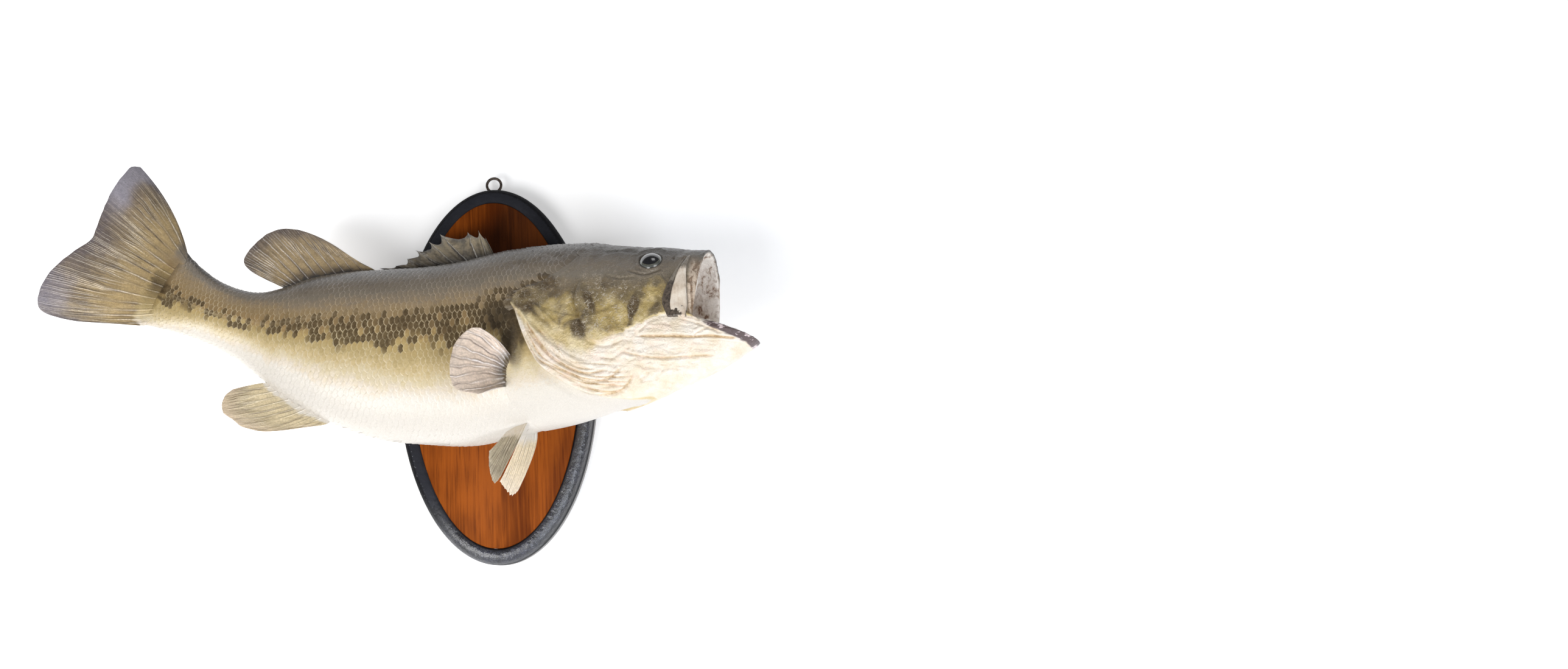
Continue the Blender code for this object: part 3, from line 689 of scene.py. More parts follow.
TIP_EDGE = (180, 188, 196, 203, 211, 216), (23, 18.2, 14.6, 12.3, 9.4, 3.4)
NET_STRENGTH = ((0.0, 0.42), (0.38, 0.50), (0.46, 0.75), (0.56, 0.70), (0.64, 0.35), (0.8, 0.10))
FLECKED = (110, 32, 26, 24, -20, 1.0)
NOSTRILS = ((163.0, 72.5), (155.5, 73.5))

# Millimetres that the skin lies below the body's shape, under the scales and
# elsewhere, and its mesh: at which angle some columns lie, and how many rings.
COAT_DEPTH, SKIN_LIFT = 1.0, -0.15
RIGHT_COLUMNS = ((0, 0.0), (28, 56.0), (186, 168.0), (192, 180.0))
LEFT_COLUMNS = ((0, 180.0), (4, 194.0), (70, 300.0), (86, 358.0))
BODY_RINGS, HEAD_RINGS, MOUTH_RINGS = 34, 270, 50
HEAD_FROM, HEAD_TO = 10.0, 16.6


def soft_mark(along, height, mark):
    """A soft oval mark seen side on."""
    middle_a, middle_h, half_a, half_h, tilt, strength = mark
    c, s = math.cos(math.radians(tilt)), math.sin(math.radians(tilt))
    u = ((along - middle_a) * c + (height - middle_h) * s) / half_a
    v = ((height - middle_h) * c - (along - middle_a) * s) / half_h
    return strength * (1 - ease(np.hypot(u, v), 0.25, 1.35))


def uneven(u, v, seed):
    """Smooth random values from -1 to 1 over two coordinates."""
    table = np.random.default_rng(seed).random((64, 64)) * 2 - 1
    total, weight = 0.0, 0.0
    for octave in range(3):
        x, y = u * 2 ** octave + 17.3 * octave, v * 2 ** octave + 9.1 * octave
        i, j = np.floor(x).astype(int), np.floor(y).astype(int)
        s, t = x - i, y - j
        s, t = s * s * (3 - 2 * s), t * t * (3 - 2 * t)
        a, b = table[i % 64, j % 64], table[(i + 1) % 64, j % 64]
        c, d = table[i % 64, (j + 1) % 64], table[(i + 1) % 64, (j + 1) % 64]
        blend = a * (1 - s) * (1 - t) + b * s * (1 - t) + c * (1 - s) * t + d * s * t
        total = total + blend / 2 ** octave
        weight += 1 / 2 ** octave
    return total / weight * 1.6


def ahead_of_coat(edge, number, along, height):
    """How far a place lies in front of the scales' last rows, in millimetres."""
    return np.where(number < 9.5, -20.0, nearest_on(edge, along, height)[0])


def markings(number, angle):
    """Marks of skin and scales alike, as a table of named values."""
    folded = np.arccos(np.cos(angle))
    degrees = np.degrees(folded)
    along, height, _across = section_point(number, folded)
    on_head = ease(ahead_of_coat(COAT_END, number, along, height), -1.0, 1.5)
    # Tone runs from the dark back (0) to the white belly (1).
    back_edge = np.interp(number, *BACK_EDGE)
    upper = np.where(degrees < back_edge, BACK_TONE * degrees / back_edge,
                     BACK_TONE + (LINE_TONE - BACK_TONE) * (degrees - back_edge) / (LINE_AT - back_edge))
    paling = np.interp(number, (0.5, 2.0, 5.0), (0.5, 0.8, 1.0))
    tone = np.where(degrees < LINE_AT, upper, LINE_TONE + (degrees / 180 - LINE_TONE) * paling)
    tone = tone + 0.06 * ease(number, 14.0, 15.4) * (degrees < LINE_AT)
    # The dark band along the side: clusters of dark scales with a ragged edge.
    band_middle = np.interp(number, *BAND_MIDDLE) + 1.5 * uneven(number * 1.7, 3.0, 5)
    drips = np.clip(uneven(number * 3.6, degrees * 0.02, 8), 0, 1)
    band_half = np.interp(number, *BAND_HALF) + 10 * drips ** 2 * (degrees > band_middle)
    off_middle = (degrees - band_middle) / band_half
    band = np.interp(number, *BAND_STRENGTH)
    band = band * ease(off_middle, -1.7, -0.2) * (1 - ease(off_middle, 0.7, 1.25))
    band = band * np.clip(0.78 + 0.52 * uneven(number * 4.6, degrees * 0.13, 21), 0, 1.15)
    # Where the spiny fin meets the back: partly its dark base, partly painted shade. It darkens the band
    # and the shade value alike.
    fin_base_dark_and_shade = 0.8 * ease(degrees, 20, 8) * ease(number, 6.2, 6.6) * (1 - ease(number, 9.2, 9.8))
    band = np.maximum(band, fin_base_dark_and_shade)
    shade = fin_base_dark_and_shade
    for mark in SHADES:
        shade = np.maximum(shade, soft_mark(along, height, mark) * (number > 8.6))
    marks, gold = np.zeros_like(tone), np.zeros_like(tone)
    astray_a = along + 6.0 * uneven(along * 0.08, height * 0.10, 41)
    astray_h = height + 6.0 * uneven(along * 0.08, height * 0.10, 42)
    for mark in DARK_MARKS:
        marks = np.maximum(marks, soft_mark(astray_a * 0.4 + along * 0.6,
                                            astray_h * 0.4 + height * 0.6, mark))
    for mark in GOLD_MARKS:
        gold = np.maximum(gold, soft_mark(astray_a, astray_h, mark))
    mottle = uneven(along * 0.09, height * 0.12, 33)
    streaky = uneven(along * 0.22 + height * 0.05, height * 0.10, 35)
    marks = np.clip(marks * (1 + 0.35 * mottle + 0.35 * streaky), 0, 1)
    low_head = ease(height + 7 * mottle, 60, 34)
    gold = np.clip(0.60 * gold + low_head * (0.42 + 0.22 * streaky + 0.15 * mottle), 0, 1)
    gold = gold * (1 - 0.85 * marks)
    blotch = np.where(number > 9.3, np.maximum(marks, band * (1 - on_head)), band)
    # Below the cream edge the head turns cream, then ivory.
    below = np.where(along > 33, -nearest_on(CREAM_EDGE, along, height)[0], -20.0)
    sharpness = np.interp(along, (36, 55, 90, 108, 125), (3.0, 11.0, 15.0, 11.0, 2.0))
    cream = ease((below + 1.5 * streaky) / sharpness, -0.9, 1.0) * on_head * ease(number, 9.8, 10.4)
    painted = on_head * (1 - ease(below, 5, 10))
    olive = painted * ease(height + 5 * mottle, 66, 40) * (1 - cream)
    mouth = ease(number, 16.55, 17.1)
    # The tip of the lower jaw and the lips are dark.
    frayed = uneven(along * 0.12, height * 0.35, 6)
    above = height + 1.2 * frayed - np.interp(along, *TIP_EDGE)
    tip = ease(above, -0.8, 0.8) * ease(along + 5 * frayed, 182, 189) * (degrees > 90) * (1 - mouth)
    lip = ease(number, 15.35, 15.7) * ease(degrees, 100, 82)
    lip = lip * (1 - ease(number, 16.7, 17.2)) * ease(degrees, 36, 56)
    cheek = painted * (1 - cream) * ease(number, 14.9, 13.4) * ease(height, 78, 52)
    cheek = cheek * (0.35 + 0.65 * soft_mark(along, height, FLECKED))
    return {"tone": tone, "blotch": blotch, "cream": cream, "gold": gold * painted, "olive": olive,
            "mouth": mouth, "tip": tip, "lip": lip, "on_head": on_head, "depth": ease(number, 17.5, 21.5),
            "cheek": cheek, "shade": np.clip(shade, 0, 1)}


def head_relief(number, angle):
    """Millimetres that the skin stands out, and the tan glaze in its folds, which also paints shade there.
    """
    folded = np.arccos(np.cos(angle))
    degrees = np.degrees(folded)
    along, height, across = section_point(number, folded)
    inward, run = nearest_on(FLAP_EDGE, along, height)
    present = ease(run, 0.03, 0.16) * ease(1 - run, 0.0, 0.2)
    flap = np.where(inward > 0, ease(inward, 0.0, 0.9) * (0.30 + 0.70 * ease(inward, 30, 3)), 0.0)
    pocket = np.where(inward < 0, ease(inward, -8.0, -0.5), 0.0)
    lift = present * (2.4 * flap - 1.4 * pocket + 0.5 * hump(inward - 1.3, 0.9))
    below = ease(-nearest_on(CREAM_EDGE, along, height)[0], -4.0, 3.0) * ease(along, 30, 36)
    # Creases of the dried gill membrane run with the flap's edge.
    membrane = below * ease(inward, 0.5, 3.0) * ease(inward, 34, 22) * ease(along, 134, 118)
    wave = inward * 0.25 + 1.3 * uneven(run * 4.0, inward * 0.06, 51)
    ridge = np.abs(wave - np.floor(wave) - 0.5) * 2
    strong = np.clip(0.75 + 0.7 * uneven(run * 7.0, inward * 0.12, 52), 0.1, 1.3)
    lift += membrane * strong * 1.5 * (np.sqrt(ridge) - 0.6)
    # Tan glaze in the valleys of the creases, also painted shade there.
    crease_glaze_and_shade = membrane * np.clip(strong, 0, 1) * ease(ridge, 0.62, 0.05)
    crease = 1 - np.abs(uneven(along * 0.20 + height * 0.08, height * 0.30, 55)) * 3.0
    lift -= membrane * 0.35 * np.clip(crease, 0, 1)
    # Creases of the jaw run along it.
    jaw = below * ease(along, 116, 130) * ease(number, 16.3, 15.6)
    across_jaw = height - 0.16 * (along - 130) * ease(height, 6, -10)
    crease = 1 - np.abs(uneven(along * 0.06, across_jaw * 0.26, 53)) * 2.6
    valley = 1 - np.abs(uneven(along * 0.04, across_jaw * 0.18, 54)) * 5.0
    lift += jaw * (0.34 * np.clip(crease, -0.6, 1.0) - 0.40 * np.clip(valley, 0, 1))
    crease_glaze_and_shade = np.maximum(crease_glaze_and_shade, jaw * 0.42 * ease(valley, 0.3, 0.9))
    for path, tall, wide, tan in FOLDS:
        off, run = nearest_on(path, along, height)
        shape = hump(off, wide) * ends_faded(run)
        lift += tall * shape
        crease_glaze_and_shade = np.maximum(crease_glaze_and_shade, tan * shape)
        if tall < 0:
            lift += 0.5 * -tall * hump(np.abs(off) - 2.2 * wide, 1.2 * wide) * ends_faded(run)
    # The bones under the skin: cheek, corner of the jaw and groove of the jaw.
    off, run = nearest_on(CHEEK_EDGE, along, height)
    step = 1.7 * ease(off, -0.4, 0.9) * ease(np.abs(off), 24, 4) - 1.2 * hump(off + 1.2, 1.1)
    lift += step * ends_faded(run, 0.2, 0.1)
    off, run = nearest_on(JAW_CORNER, along, height)
    lift += 0.8 * ease(off, -0.3, 0.8) * ease(np.abs(off), 12, 3) * ends_faded(run, 0.08, 0.5)
    off, run = nearest_on(JAW_GROOVE, along, height)
    groove = hump(off, 0.9) * ends_faded(run, 0.06, 0.1)
    lift += -1.7 * groove + 0.8 * ease(off, 0.3, 2.5) * ease(np.abs(off), 11, 5) * ends_faded(run)
    crease_glaze_and_shade = np.maximum(crease_glaze_and_shade, groove)
    # The putty round the eye, its socket, and the nostrils.
    from_eye = np.linalg.norm(place(along, height, across) - skin_at(*on_flank(*EYE_PLACE)), axis=-1) / MM
    lift += 0.8 * hump(from_eye - 9.7, 1.0) - 6.0 * (1 - ease(from_eye, 7.4, 8.3))
    for spot in NOSTRILS:
        lift -= 1.5 * hump(np.hypot(along - spot[0], height - spot[1]), 1.2)
    lift += (1 - below) * (0.60 * uneven(along * 0.11, height * 0.14, 61)
                           + 0.12 * uneven(along * 0.45, height * 0.5, 62))
    faded = ease(number, 9.9, 10.3) * (1 - ease(number, 16.0, 16.6))
    lift = lift * faded
    # The lips are thick and creased, and the lining of the mouth hangs in folds.
    lift += hump(number - 16.5, 0.35) * (0.2 + 1.2 * ease(degrees, 75, 30)
                                         + 0.35 * uneven(number * 1.2, folded * 7.0, 63))
    lift -= 0.95 * ease(number, 14.3, 15.8) * ease(degrees, 68, 88)
    lining = ease(number, 16.8, 18.0) * (1 - ease(number, 20.5, 22.0))
    folds = 1 - np.abs(uneven(number * 0.45, folded * 2.6, 64)) * 2.4
    lift -= lining * 1.3 * np.clip(folds, -0.5, 1.0)
    return lift, crease_glaze_and_shade * faded


def give_unwrap(piece, u, v):
    """The map of the bake, from two shares for each corner of the faces."""
    margin = 0.02
    u, v = (margin + (1 - 2 * margin) * share for share in (u, v))
    layer = piece.data.uv_layers.new(name="OFBake")
    layer.data.foreach_set("uv", np.stack([u, v], -1).ravel())


skin_angles = np.radians(np.concatenate([
    np.interp(np.arange(RIGHT_COLUMNS[-1][0]), *zip(*RIGHT_COLUMNS)),
    np.interp(np.arange(LEFT_COLUMNS[-1][0] + 1), *zip(*LEFT_COLUMNS))]))
skin_numbers = np.concatenate([np.linspace(0.0, HEAD_FROM, BODY_RINGS + 1)[:-1],
                               np.linspace(HEAD_FROM, HEAD_TO, HEAD_RINGS + 1)[:-1],
                               np.linspace(HEAD_TO, THROAT_END, MOUTH_RINGS)])
number_grid, angle_grid = np.meshgrid(skin_numbers, skin_angles, indexing="ij")
relief, crease_glaze_and_shade = head_relief(number_grid, angle_grid)
grid_along, grid_height, _across = section_point(number_grid, np.arccos(np.cos(angle_grid)))
in_coat = ease(ahead_of_coat(BARE_EDGE, number_grid, grid_along, grid_height), 1.5, -1.5)
in_coat = in_coat * ease(number_grid, 0.0, 0.6) * (number_grid < 13)
skin_points = skin_at(number_grid, angle_grid, relief + SKIN_LIFT - (COAT_DEPTH + SKIN_LIFT) * in_coat)
columns = len(skin_angles)
skin_faces = grid_faces(len(skin_numbers), columns, closed=True)
skin_faces.append(tuple(range(columns))[::-1])
skin_faces.append(tuple(range((len(skin_numbers) - 1) * columns, len(skin_numbers) * columns)))


def two_tone(tree, cloud, low, high, first, second):
    """One colour that turns into another as a cloud value grows."""
    return mix(tree, remap(tree, cloud, low, high), (*first, 1), (*second, 1))


def grey(tree, shade):
    """A grey of some brightness."""
    return node(tree, "CombineColor", {0: shade, 1: shade, 2: shade}).outputs[0]


def bass_paint_group():
    """The painted colours of the bass, from the values on its meshes."""
    tree, given, result = new_group("bass_paint", [("Net", "Float", 1.0)],
                                    [("Color", "Color"), ("Roughness", "Float"), ("Height", "Float")])
    soft = noise(tree, 60.0, 3.0, 0.6)
    grit = noise(tree, 420.0, 4.0, 0.65)
    fine = noise(tree, 1500.0, 3.0, 0.6)
    speckle = swing(tree, grit, 0.10)
    tone = plus(tree, value(tree, "tone"), plus(tree, swing(tree, soft, 0.07), speckle))
    colour = ramp(tree, tone, BODY_TONES)
    olive = two_tone(tree, soft, 0.35, 0.65, (0.120, 0.092, 0.052), (0.215, 0.165, 0.085))
    colour = mix(tree, times(tree, value(tree, "olive"), 0.9), colour, olive)
    gold_tone = ramp(tree, plus(tree, soft, times(tree, speckle, 2.0)), [
        (0.32, (0.290, 0.205, 0.075)), (0.50, (0.440, 0.330, 0.130)), (0.66, (0.600, 0.480, 0.260))])
    gold = plus(tree, value(tree, "gold"), times(tree, speckle, 2.0))
    colour = mix(tree, remap(tree, gold, 0.12, 0.95), colour, gold_tone)
    blotch = plus(tree, value(tree, "blotch"), times(tree, speckle, 4.0))
    dark = two_tone(tree, grit, 0.35, 0.65, (0.066, 0.043, 0.020), (0.122, 0.084, 0.041))
    colour = mix(tree, remap(tree, blotch, 0.15, 0.95, 0.0, 0.92), colour, dark)
    cream = plus(tree, value(tree, "cream"), times(tree, speckle, 2.5))
    yellow = two_tone(tree, soft, 0.35, 0.65, (0.56, 0.43, 0.20), (0.72, 0.60, 0.36))
    ivory = two_tone(tree, soft, 0.35, 0.65, (0.74, 0.63, 0.48), (0.82, 0.745, 0.65))
    colour = mix(tree, remap(tree, cream, 0.05, 0.42), colour, yellow)
    colour = mix(tree, remap(tree, cream, 0.48, 0.98), colour, ivory)
    # Curly pale flecks of worn varnish on the cheek.
    curl = node(tree, "TexNoise", {"Vector": stretched(tree, 260.0), "Scale": 1.0, "Detail": 2.0})
    curled = node(tree, "VectorMath", {0: curl.outputs["Color"], 1: (2.6, 2.6, 2.6),
                                       2: stretched(tree, (430.0, 430.0, 500.0))}, operation="MULTIPLY_ADD")
    cells = node(tree, "TexVoronoi", {"Vector": curled.outputs[0], "Scale": 1.0},
                 feature="DISTANCE_TO_EDGE").outputs["Distance"]
    flecks = times(tree, remap(tree, cells, 0.03, 0.12, 1.0, 0.0),
                   remap(tree, noise(tree, 330.0, 2.0, 0.6), 0.48, 0.60), value(tree, "cheek"),
                   remap(tree, soft, 0.36, 0.58, 0.35, 0.95))
    colour = mix(tree, flecks, colour, (0.66, 0.58, 0.46, 1))
    # Tan glaze, partly painted shade, darkens the folds and creases.
    tan = two_tone(tree, grit, 0.4, 0.6, (0.42, 0.26, 0.11), (0.66, 0.49, 0.28))
    colour = mix(tree, remap(tree, value(tree, "crease_glaze_and_shade"), 0.25, 0.85, 0.0, 0.8), colour, tan)
    rosy = remap(tree, noise(tree, (90.0, 90.0, 150.0), 3.0, 0.6), 0.50, 0.62, 0.0, 0.35)
    colour = mix(tree, times(tree, rosy, value(tree, "cream")), colour, (0.90, 0.70, 0.58, 1))
    lip = two_tone(tree, noise(tree, (330.0, 330.0, 24.0), 3.0, 0.6), 0.40, 0.58,
                   (0.240, 0.155, 0.100), (0.70, 0.57, 0.45))
    colour = mix(tree, times(tree, value(tree, "lip"), 0.9), colour, lip)
    tip = two_tone(tree, noise(tree, (90.0, 150.0, 190.0), 3.0, 0.6), 0.36, 0.44,
                   (0.72, 0.60, 0.60), (0.10, 0.068, 0.066))
    colour = mix(tree, value(tree, "tip"), colour, tip)
    lining = ramp(tree, noise(tree, (190.0, 190.0, 120.0), 5.0, 0.7, 0.5), [
        (0.36, (0.20, 0.12, 0.08)), (0.41, (0.52, 0.42, 0.34)), (0.50, (0.78, 0.71, 0.64)),
        (0.70, (0.90, 0.84, 0.76))])
    lining = mix(tree, times(tree, value(tree, "depth"), 0.3), lining, (0.42, 0.27, 0.21, 1))
    colour = mix(tree, value(tree, "mouth"), colour, lining)
    # A pale net along the free edges of the scales.
    net = times(tree, value(tree, "edge"), given["Net"], remap(tree, soft, 0.30, 0.62, 0.25, 1.0),
                remap(tree, noise(tree, 480.0, 2.0, 0.6), 0.36, 0.54, 0.30, 1.0))
    strength = ramp(tree, tone, [(at, (amount,) * 3) for at, amount in NET_STRENGTH])
    net_colour = ramp(tree, tone, [(0.30, (0.38, 0.35, 0.33)), (0.44, (0.50, 0.39, 0.26)),
                                   (0.58, (0.66, 0.55, 0.34)), (0.75, (0.95, 0.90, 0.82))])
    colour = mix(tree, times(tree, net, strength), colour, net_colour)
    # The shade value paints skin and scales near black: painted shade behind the gill cover and at the
    # spiny fin's base, darkening on the nape and round the eye.
    colour = mix(tree, times(tree, value(tree, "shade"), 0.72), colour, (0.022, 0.016, 0.010, 1))
    colour = mix(tree, 1.0, colour, grey(tree, remap(tree, fine, 0.25, 0.75, 0.93, 1.06)), "MULTIPLY")
    pits = node(tree, "TexVoronoi", {"Vector": curled.outputs[0], "Scale": 1.3}).outputs["Distance"]
    height = plus(tree, grit, times(tree, fine, 0.4), times(tree, flecks, 0.6),
                  times(tree, pits, times(tree, value(tree, "on_head"), -0.7)))
    connect(tree, result, Color=colour, Roughness=remap(tree, grit, 0.3, 0.7, 0.34, 0.52), Height=height)
    return tree


bass_paint = bass_paint_group()


def bass_finish(name, net, depth):
    """Varnished paint on the bass, with the strength of its scale net."""
    made, tree, shader = new_finish(name, Coat_Weight=0.35, Coat_Roughness=0.09, Specular_IOR_Level=0.30)
    paint = placed(tree, bass_paint, {"Net": net})
    uneven_paint = bump(tree, paint["Height"], depth)
    connect(tree, shader, Base_Color=paint["Color"], Roughness=paint["Roughness"],
            Normal=uneven_paint, Coat_Normal=uneven_paint)
    return made


skin = add_piece("bass_skin", skin_points, skin_faces, bass_finish("painted_bass_skin", 0.0, 0.0005),
                 "fish_skin", "trunk", "tail_stem", "head", "lower_jaw", "gill_cover_right",
                 "gill_cover_left", crease=180.0)
give_values(skin.data, {**markings(number_grid, angle_grid), "crease_glaze_and_shade": crease_glaze_and_shade, "edge": np.zeros_like(crease_glaze_and_shade)})
corner_points = np.empty(len(skin.data.loops), int)
skin.data.loops.foreach_get("vertex_index", corner_points)
corner_columns = corner_points % columns
corner_faces = np.repeat(np.arange(len(skin.data.polygons)), [p.loop_total for p in skin.data.polygons])
wrapped = (corner_columns == 0) & (corner_faces % columns == columns - 1)
give_unwrap(skin, (corner_points // columns) / len(skin_numbers),
            np.where(wrapped, columns, corner_columns) / columns)


# -------------------------------------------------------------------- scales
# The scales are thin horny plates in slanting rows. Each lies over the front
# of the one behind it, with its round rear edge free. The rows are laid out
# from the lateral line, and they grow smaller towards the tail.

# Section numbers where the scales start, part into two pieces, and end, and
# where the lateral line ends.
COAT_START, COAT_PARTED, COAT_FRONT = 0.12, 6.0, 13.3
LINE_END = 13.6
COLUMN_SPACING = ((0.0, 3.0), (2.0, 3.7), (5.0, 4.2), (14.0, 4.2))
ROW_SPACING = ((0.3, 3.5), (1.0, 3.9), (2.0, 4.3), (3.0, 4.6), (4.0, 5.2), (5.0, 5.6), (14.0, 5.6))
LATERAL_LINE = ((1.0, 95.0), (4.0, 94.0), (5.0, 89.0), (6.0, 85.0), (7.0, 80.0), (8.0, 78.0),
                (9.0, 78.0), (10.0, 79.0), (10.5, 80.0), (14.0, 80.0))
ROWS_OVER, ROWS_UNDER = -24, 28
# A scale's grid, and its size in steps of the lattice.
SCALE_ACROSS, SCALE_ROWS = 9, np.array((0.0, 0.07, 0.13, 0.5, 1.0))
SCALE_MIDDLE, SCALE_LENGTH, SCALE_FRONT = 1.46, 1.96, 1.60
SCALE_THICK = 0.15
SCALE_TOP, SCALE_SLOPE = -0.05, 0.80
# The share of the bake's map that each scale takes.
UNWRAP_PATCH = 0.003125

# The scales and then the fins draw from this, one after another.
chance = np.random.default_rng(11)

line_numbers = np.linspace(0.0, LINE_END, 700)
line_angles = np.radians(np.interp(line_numbers, *zip(*LATERAL_LINE)))
line_steps = np.linalg.norm(np.diff(np.stack(section_point(line_numbers, line_angles), -1), axis=0), axis=1)
line_spacing = np.interp((line_numbers[1:] + line_numbers[:-1]) / 2, *zip(*COLUMN_SPACING))
line_columns = np.concatenate([[0.0], np.cumsum(line_steps / line_spacing)])

# The angle at every half millimetre round the body from the lateral line.
GIRTH_EVERY = 7
round_angles = np.radians(np.linspace(-25.0, 205.0, 461))
girth = np.linspace(-130.0, 150.0, 561)
girth_angles = []
for number, line_angle in zip(line_numbers[::GIRTH_EVERY], line_angles[::GIRTH_EVERY]):
    points = np.stack(section_point(np.full(round_angles.shape, number), round_angles), -1)
    reach = np.concatenate([[0.0], np.cumsum(np.linalg.norm(np.diff(points, axis=0), axis=1))])
    girth_angles.append(np.interp(girth, reach - np.interp(line_angle, round_angles, reach), round_angles))
girth_angles = np.array(girth_angles)


def lattice_place(column, row):
    """Section number and angle at places in the slanting rows of scales."""
    number = np.interp(column, line_columns, line_numbers)
    out = row * np.interp(number, *zip(*ROW_SPACING))
    i = np.clip(number / line_numbers[GIRTH_EVERY], 0, len(girth_angles) - 1.001)
    j = np.clip((out - girth[0]) / (girth[1] - girth[0]), 0, len(girth) - 1.001)
    i0, j0 = i.astype(int), j.astype(int)
    u, v = i - i0, j - j0
    angle = ((girth_angles[i0, j0] * (1 - v) + girth_angles[i0, j0 + 1] * v) * (1 - u)
             + (girth_angles[i0 + 1, j0] * (1 - v) + girth_angles[i0 + 1, j0 + 1] * v) * u)
    return number, angle


def scale_faces(count):
    """Faces of many scales, each an upper grid and a lower grid of points."""
    down, across = len(SCALE_ROWS), SCALE_ACROSS
    under = down * across
    faces = grid_faces(down, across)
    for j in range(across - 1):
        far, low = (down - 1) * across, under + across
        faces.append((under + j + 1, under + j, under + across + j, under + across + j + 1))
        faces.append((j + 1, j, under + j, under + j + 1))
        faces.append((far + j, far + j + 1, low + j + 1, low + j))
    for j, turned in ((0, False), (across - 1, True)):
        ring = [i * across + j for i in range(down)] + [under + across + j, under + j]
        faces.append(ring[::-1] if turned else ring)
    per_scale = under + 2 * across
    loops = np.array([point for face in faces for point in face])
    all_loops = (np.arange(count)[:, None] * per_scale + loops[None]).ravel()
    return all_loops, np.tile([len(face) for face in faces], count)


def scale_mesh(name, points, loops, totals):
    """A mesh of many faces, made fast from its arrays."""
    mesh = bpy.data.meshes.new(name)
    mesh.vertices.add(len(points))
    mesh.vertices.foreach_set("co", points.astype(np.float32).ravel())
    mesh.loops.add(len(loops))
    mesh.loops.foreach_set("vertex_index", loops.astype(np.int32))
    mesh.polygons.add(len(totals))
    mesh.polygons.foreach_set("loop_start", (np.cumsum(totals) - totals).astype(np.int32))
    mesh.update(calc_edges=True)
    return mesh


def add_scales(name, side, low, high):
    """The scales of one side, between two section numbers, as one mesh."""
    half_step = 0.0 if side > 0 else 0.5
    slots = [(column + 0.5 * (row % 2) + half_step, row) for row in range(ROWS_OVER, ROWS_UNDER)
             for column in range(int(line_columns[-1]) + 1)]
    slots = np.array(slots, float)
    slots[:, 0] += chance.normal(0.0, 0.035, len(slots))
    root_number, root_angle = lattice_place(slots[:, 0], slots[:, 1])
    along, height, _across = section_point(root_number, root_angle)
    kept = ((root_number >= low) & (root_number < high)
            & (ahead_of_coat(BARE_EDGE, root_number, along, height) < -1.5)
            & (root_angle > math.radians(0.6)) & (root_angle < math.radians(179.4)))
    slots, root_number, root_angle = slots[kept], root_number[kept], root_angle[kept]
    luck = chance.random((3, len(slots)))
    # From here on, arrays run over scales, rows of a scale and points of a row.
    column, row = slots.T[:, :, None, None]
    size_luck, slope_luck, edge_luck = luck[:, :, None, None]
    share = SCALE_ROWS[None, :, None]
    edge_turn = np.linspace(-math.pi / 2, math.pi / 2, SCALE_ACROSS)[None, None]
    size = 1 + 0.05 * (size_luck - 0.5)
    rear = SCALE_MIDDLE - SCALE_LENGTH * np.cos(edge_turn)
    x = rear + share * (SCALE_FRONT - rear)
    y = np.sin(edge_turn) * (1 - 0.25 * share ** 2)
    number, angle = lattice_place(column + x * size, row + y * size)
    lift = SCALE_TOP - SCALE_SLOPE * (x + 0.5) / (SCALE_FRONT + 0.5)
    lift = lift - 0.03 * (side < 0) + 0.07 * (slope_luck - 0.5)
    lift = lift + 0.10 * np.cos(edge_turn) ** 2 * (1 - share) - 0.07 * (share == 0.0)
    lift = lift + 0.16 * (edge_luck - 0.5) * np.sin(edge_turn)
    near_head = root_number > 9.2
    lift[near_head] += head_relief(number[near_head], angle[near_head])[0]
    pore = (np.abs(row) < 0.5) * (np.abs(edge_turn) < 0.2) * (share > 0.1)
    pore = pore * np.interp(root_number, (4.0, 7.0), (1.0, 0.35))[:, None, None]
    lift = lift + 0.10 * pore - 0.5 * (1 - ease(root_number, COAT_START, 0.7))[:, None, None]
    # The underside has only the rear row and the front row of points.
    under_rows = [0, len(SCALE_ROWS) - 1]
    number = np.concatenate([number, number[:, under_rows]], 1)
    angle = np.concatenate([angle, angle[:, under_rows]], 1)
    lift = np.concatenate([lift, lift[:, under_rows] - SCALE_THICK], 1)
    share = np.concatenate([SCALE_ROWS, SCALE_ROWS[under_rows]])[None, :, None]
    points = skin_at(number, angle * side, lift).reshape(-1, 3)
    loops, totals = scale_faces(len(slots))
    if side < 0:
        starts = np.cumsum(totals) - totals
        loops = loops[np.concatenate([np.arange(s + t - 1, s - 1, -1) for s, t in zip(starts, totals)])]
    piece = show(name, scale_mesh(name, points, loops, totals), scale_finish, 60.0)
    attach(piece, "root")
    marks = markings(number, angle * side)
    root_blotch = markings(root_number, root_angle)["blotch"][:, None, None]
    blotch = ease(0.8 * root_blotch + 0.2 * marks["blotch"] + 0.80 * (edge_luck - 0.5), 0.15, 0.85)
    blotch = blotch * np.clip(0.10 + 2.0 * root_blotch, 0, 1)
    edge = np.broadcast_to(np.interp(share, (0.0, 0.07, 0.125), (1.0, 1.0, 0.0)), number.shape).copy()
    edge[:, :len(SCALE_ROWS)] = np.maximum(edge[:, :len(SCALE_ROWS)], 0.45 * pore)
    give_values(piece.data, {"tone": marks["tone"] + 0.022 * (size_luck - 0.5), "blotch": blotch,
                             "edge": edge, "shade": marks["shade"]})
    u = root_number[:, None, None] / LINE_END + UNWRAP_PATCH * (share - 0.5)
    v = root_angle[:, None, None] / math.pi + UNWRAP_PATCH * 0.5 * np.sin(edge_turn)
    give_unwrap(piece, *(np.broadcast_to(w, number.shape).reshape(-1)[loops] for w in (u, v)))


scale_finish = bass_finish("painted_bass_scales", 1.0, 0.00018)
for word, side in (("right", RIGHT), ("left", LEFT)):
    add_scales("tail_scales_" + word, side, COAT_START, COAT_PARTED)
    add_scales("shoulder_scales_" + word, side, COAT_PARTED, COAT_FRONT)


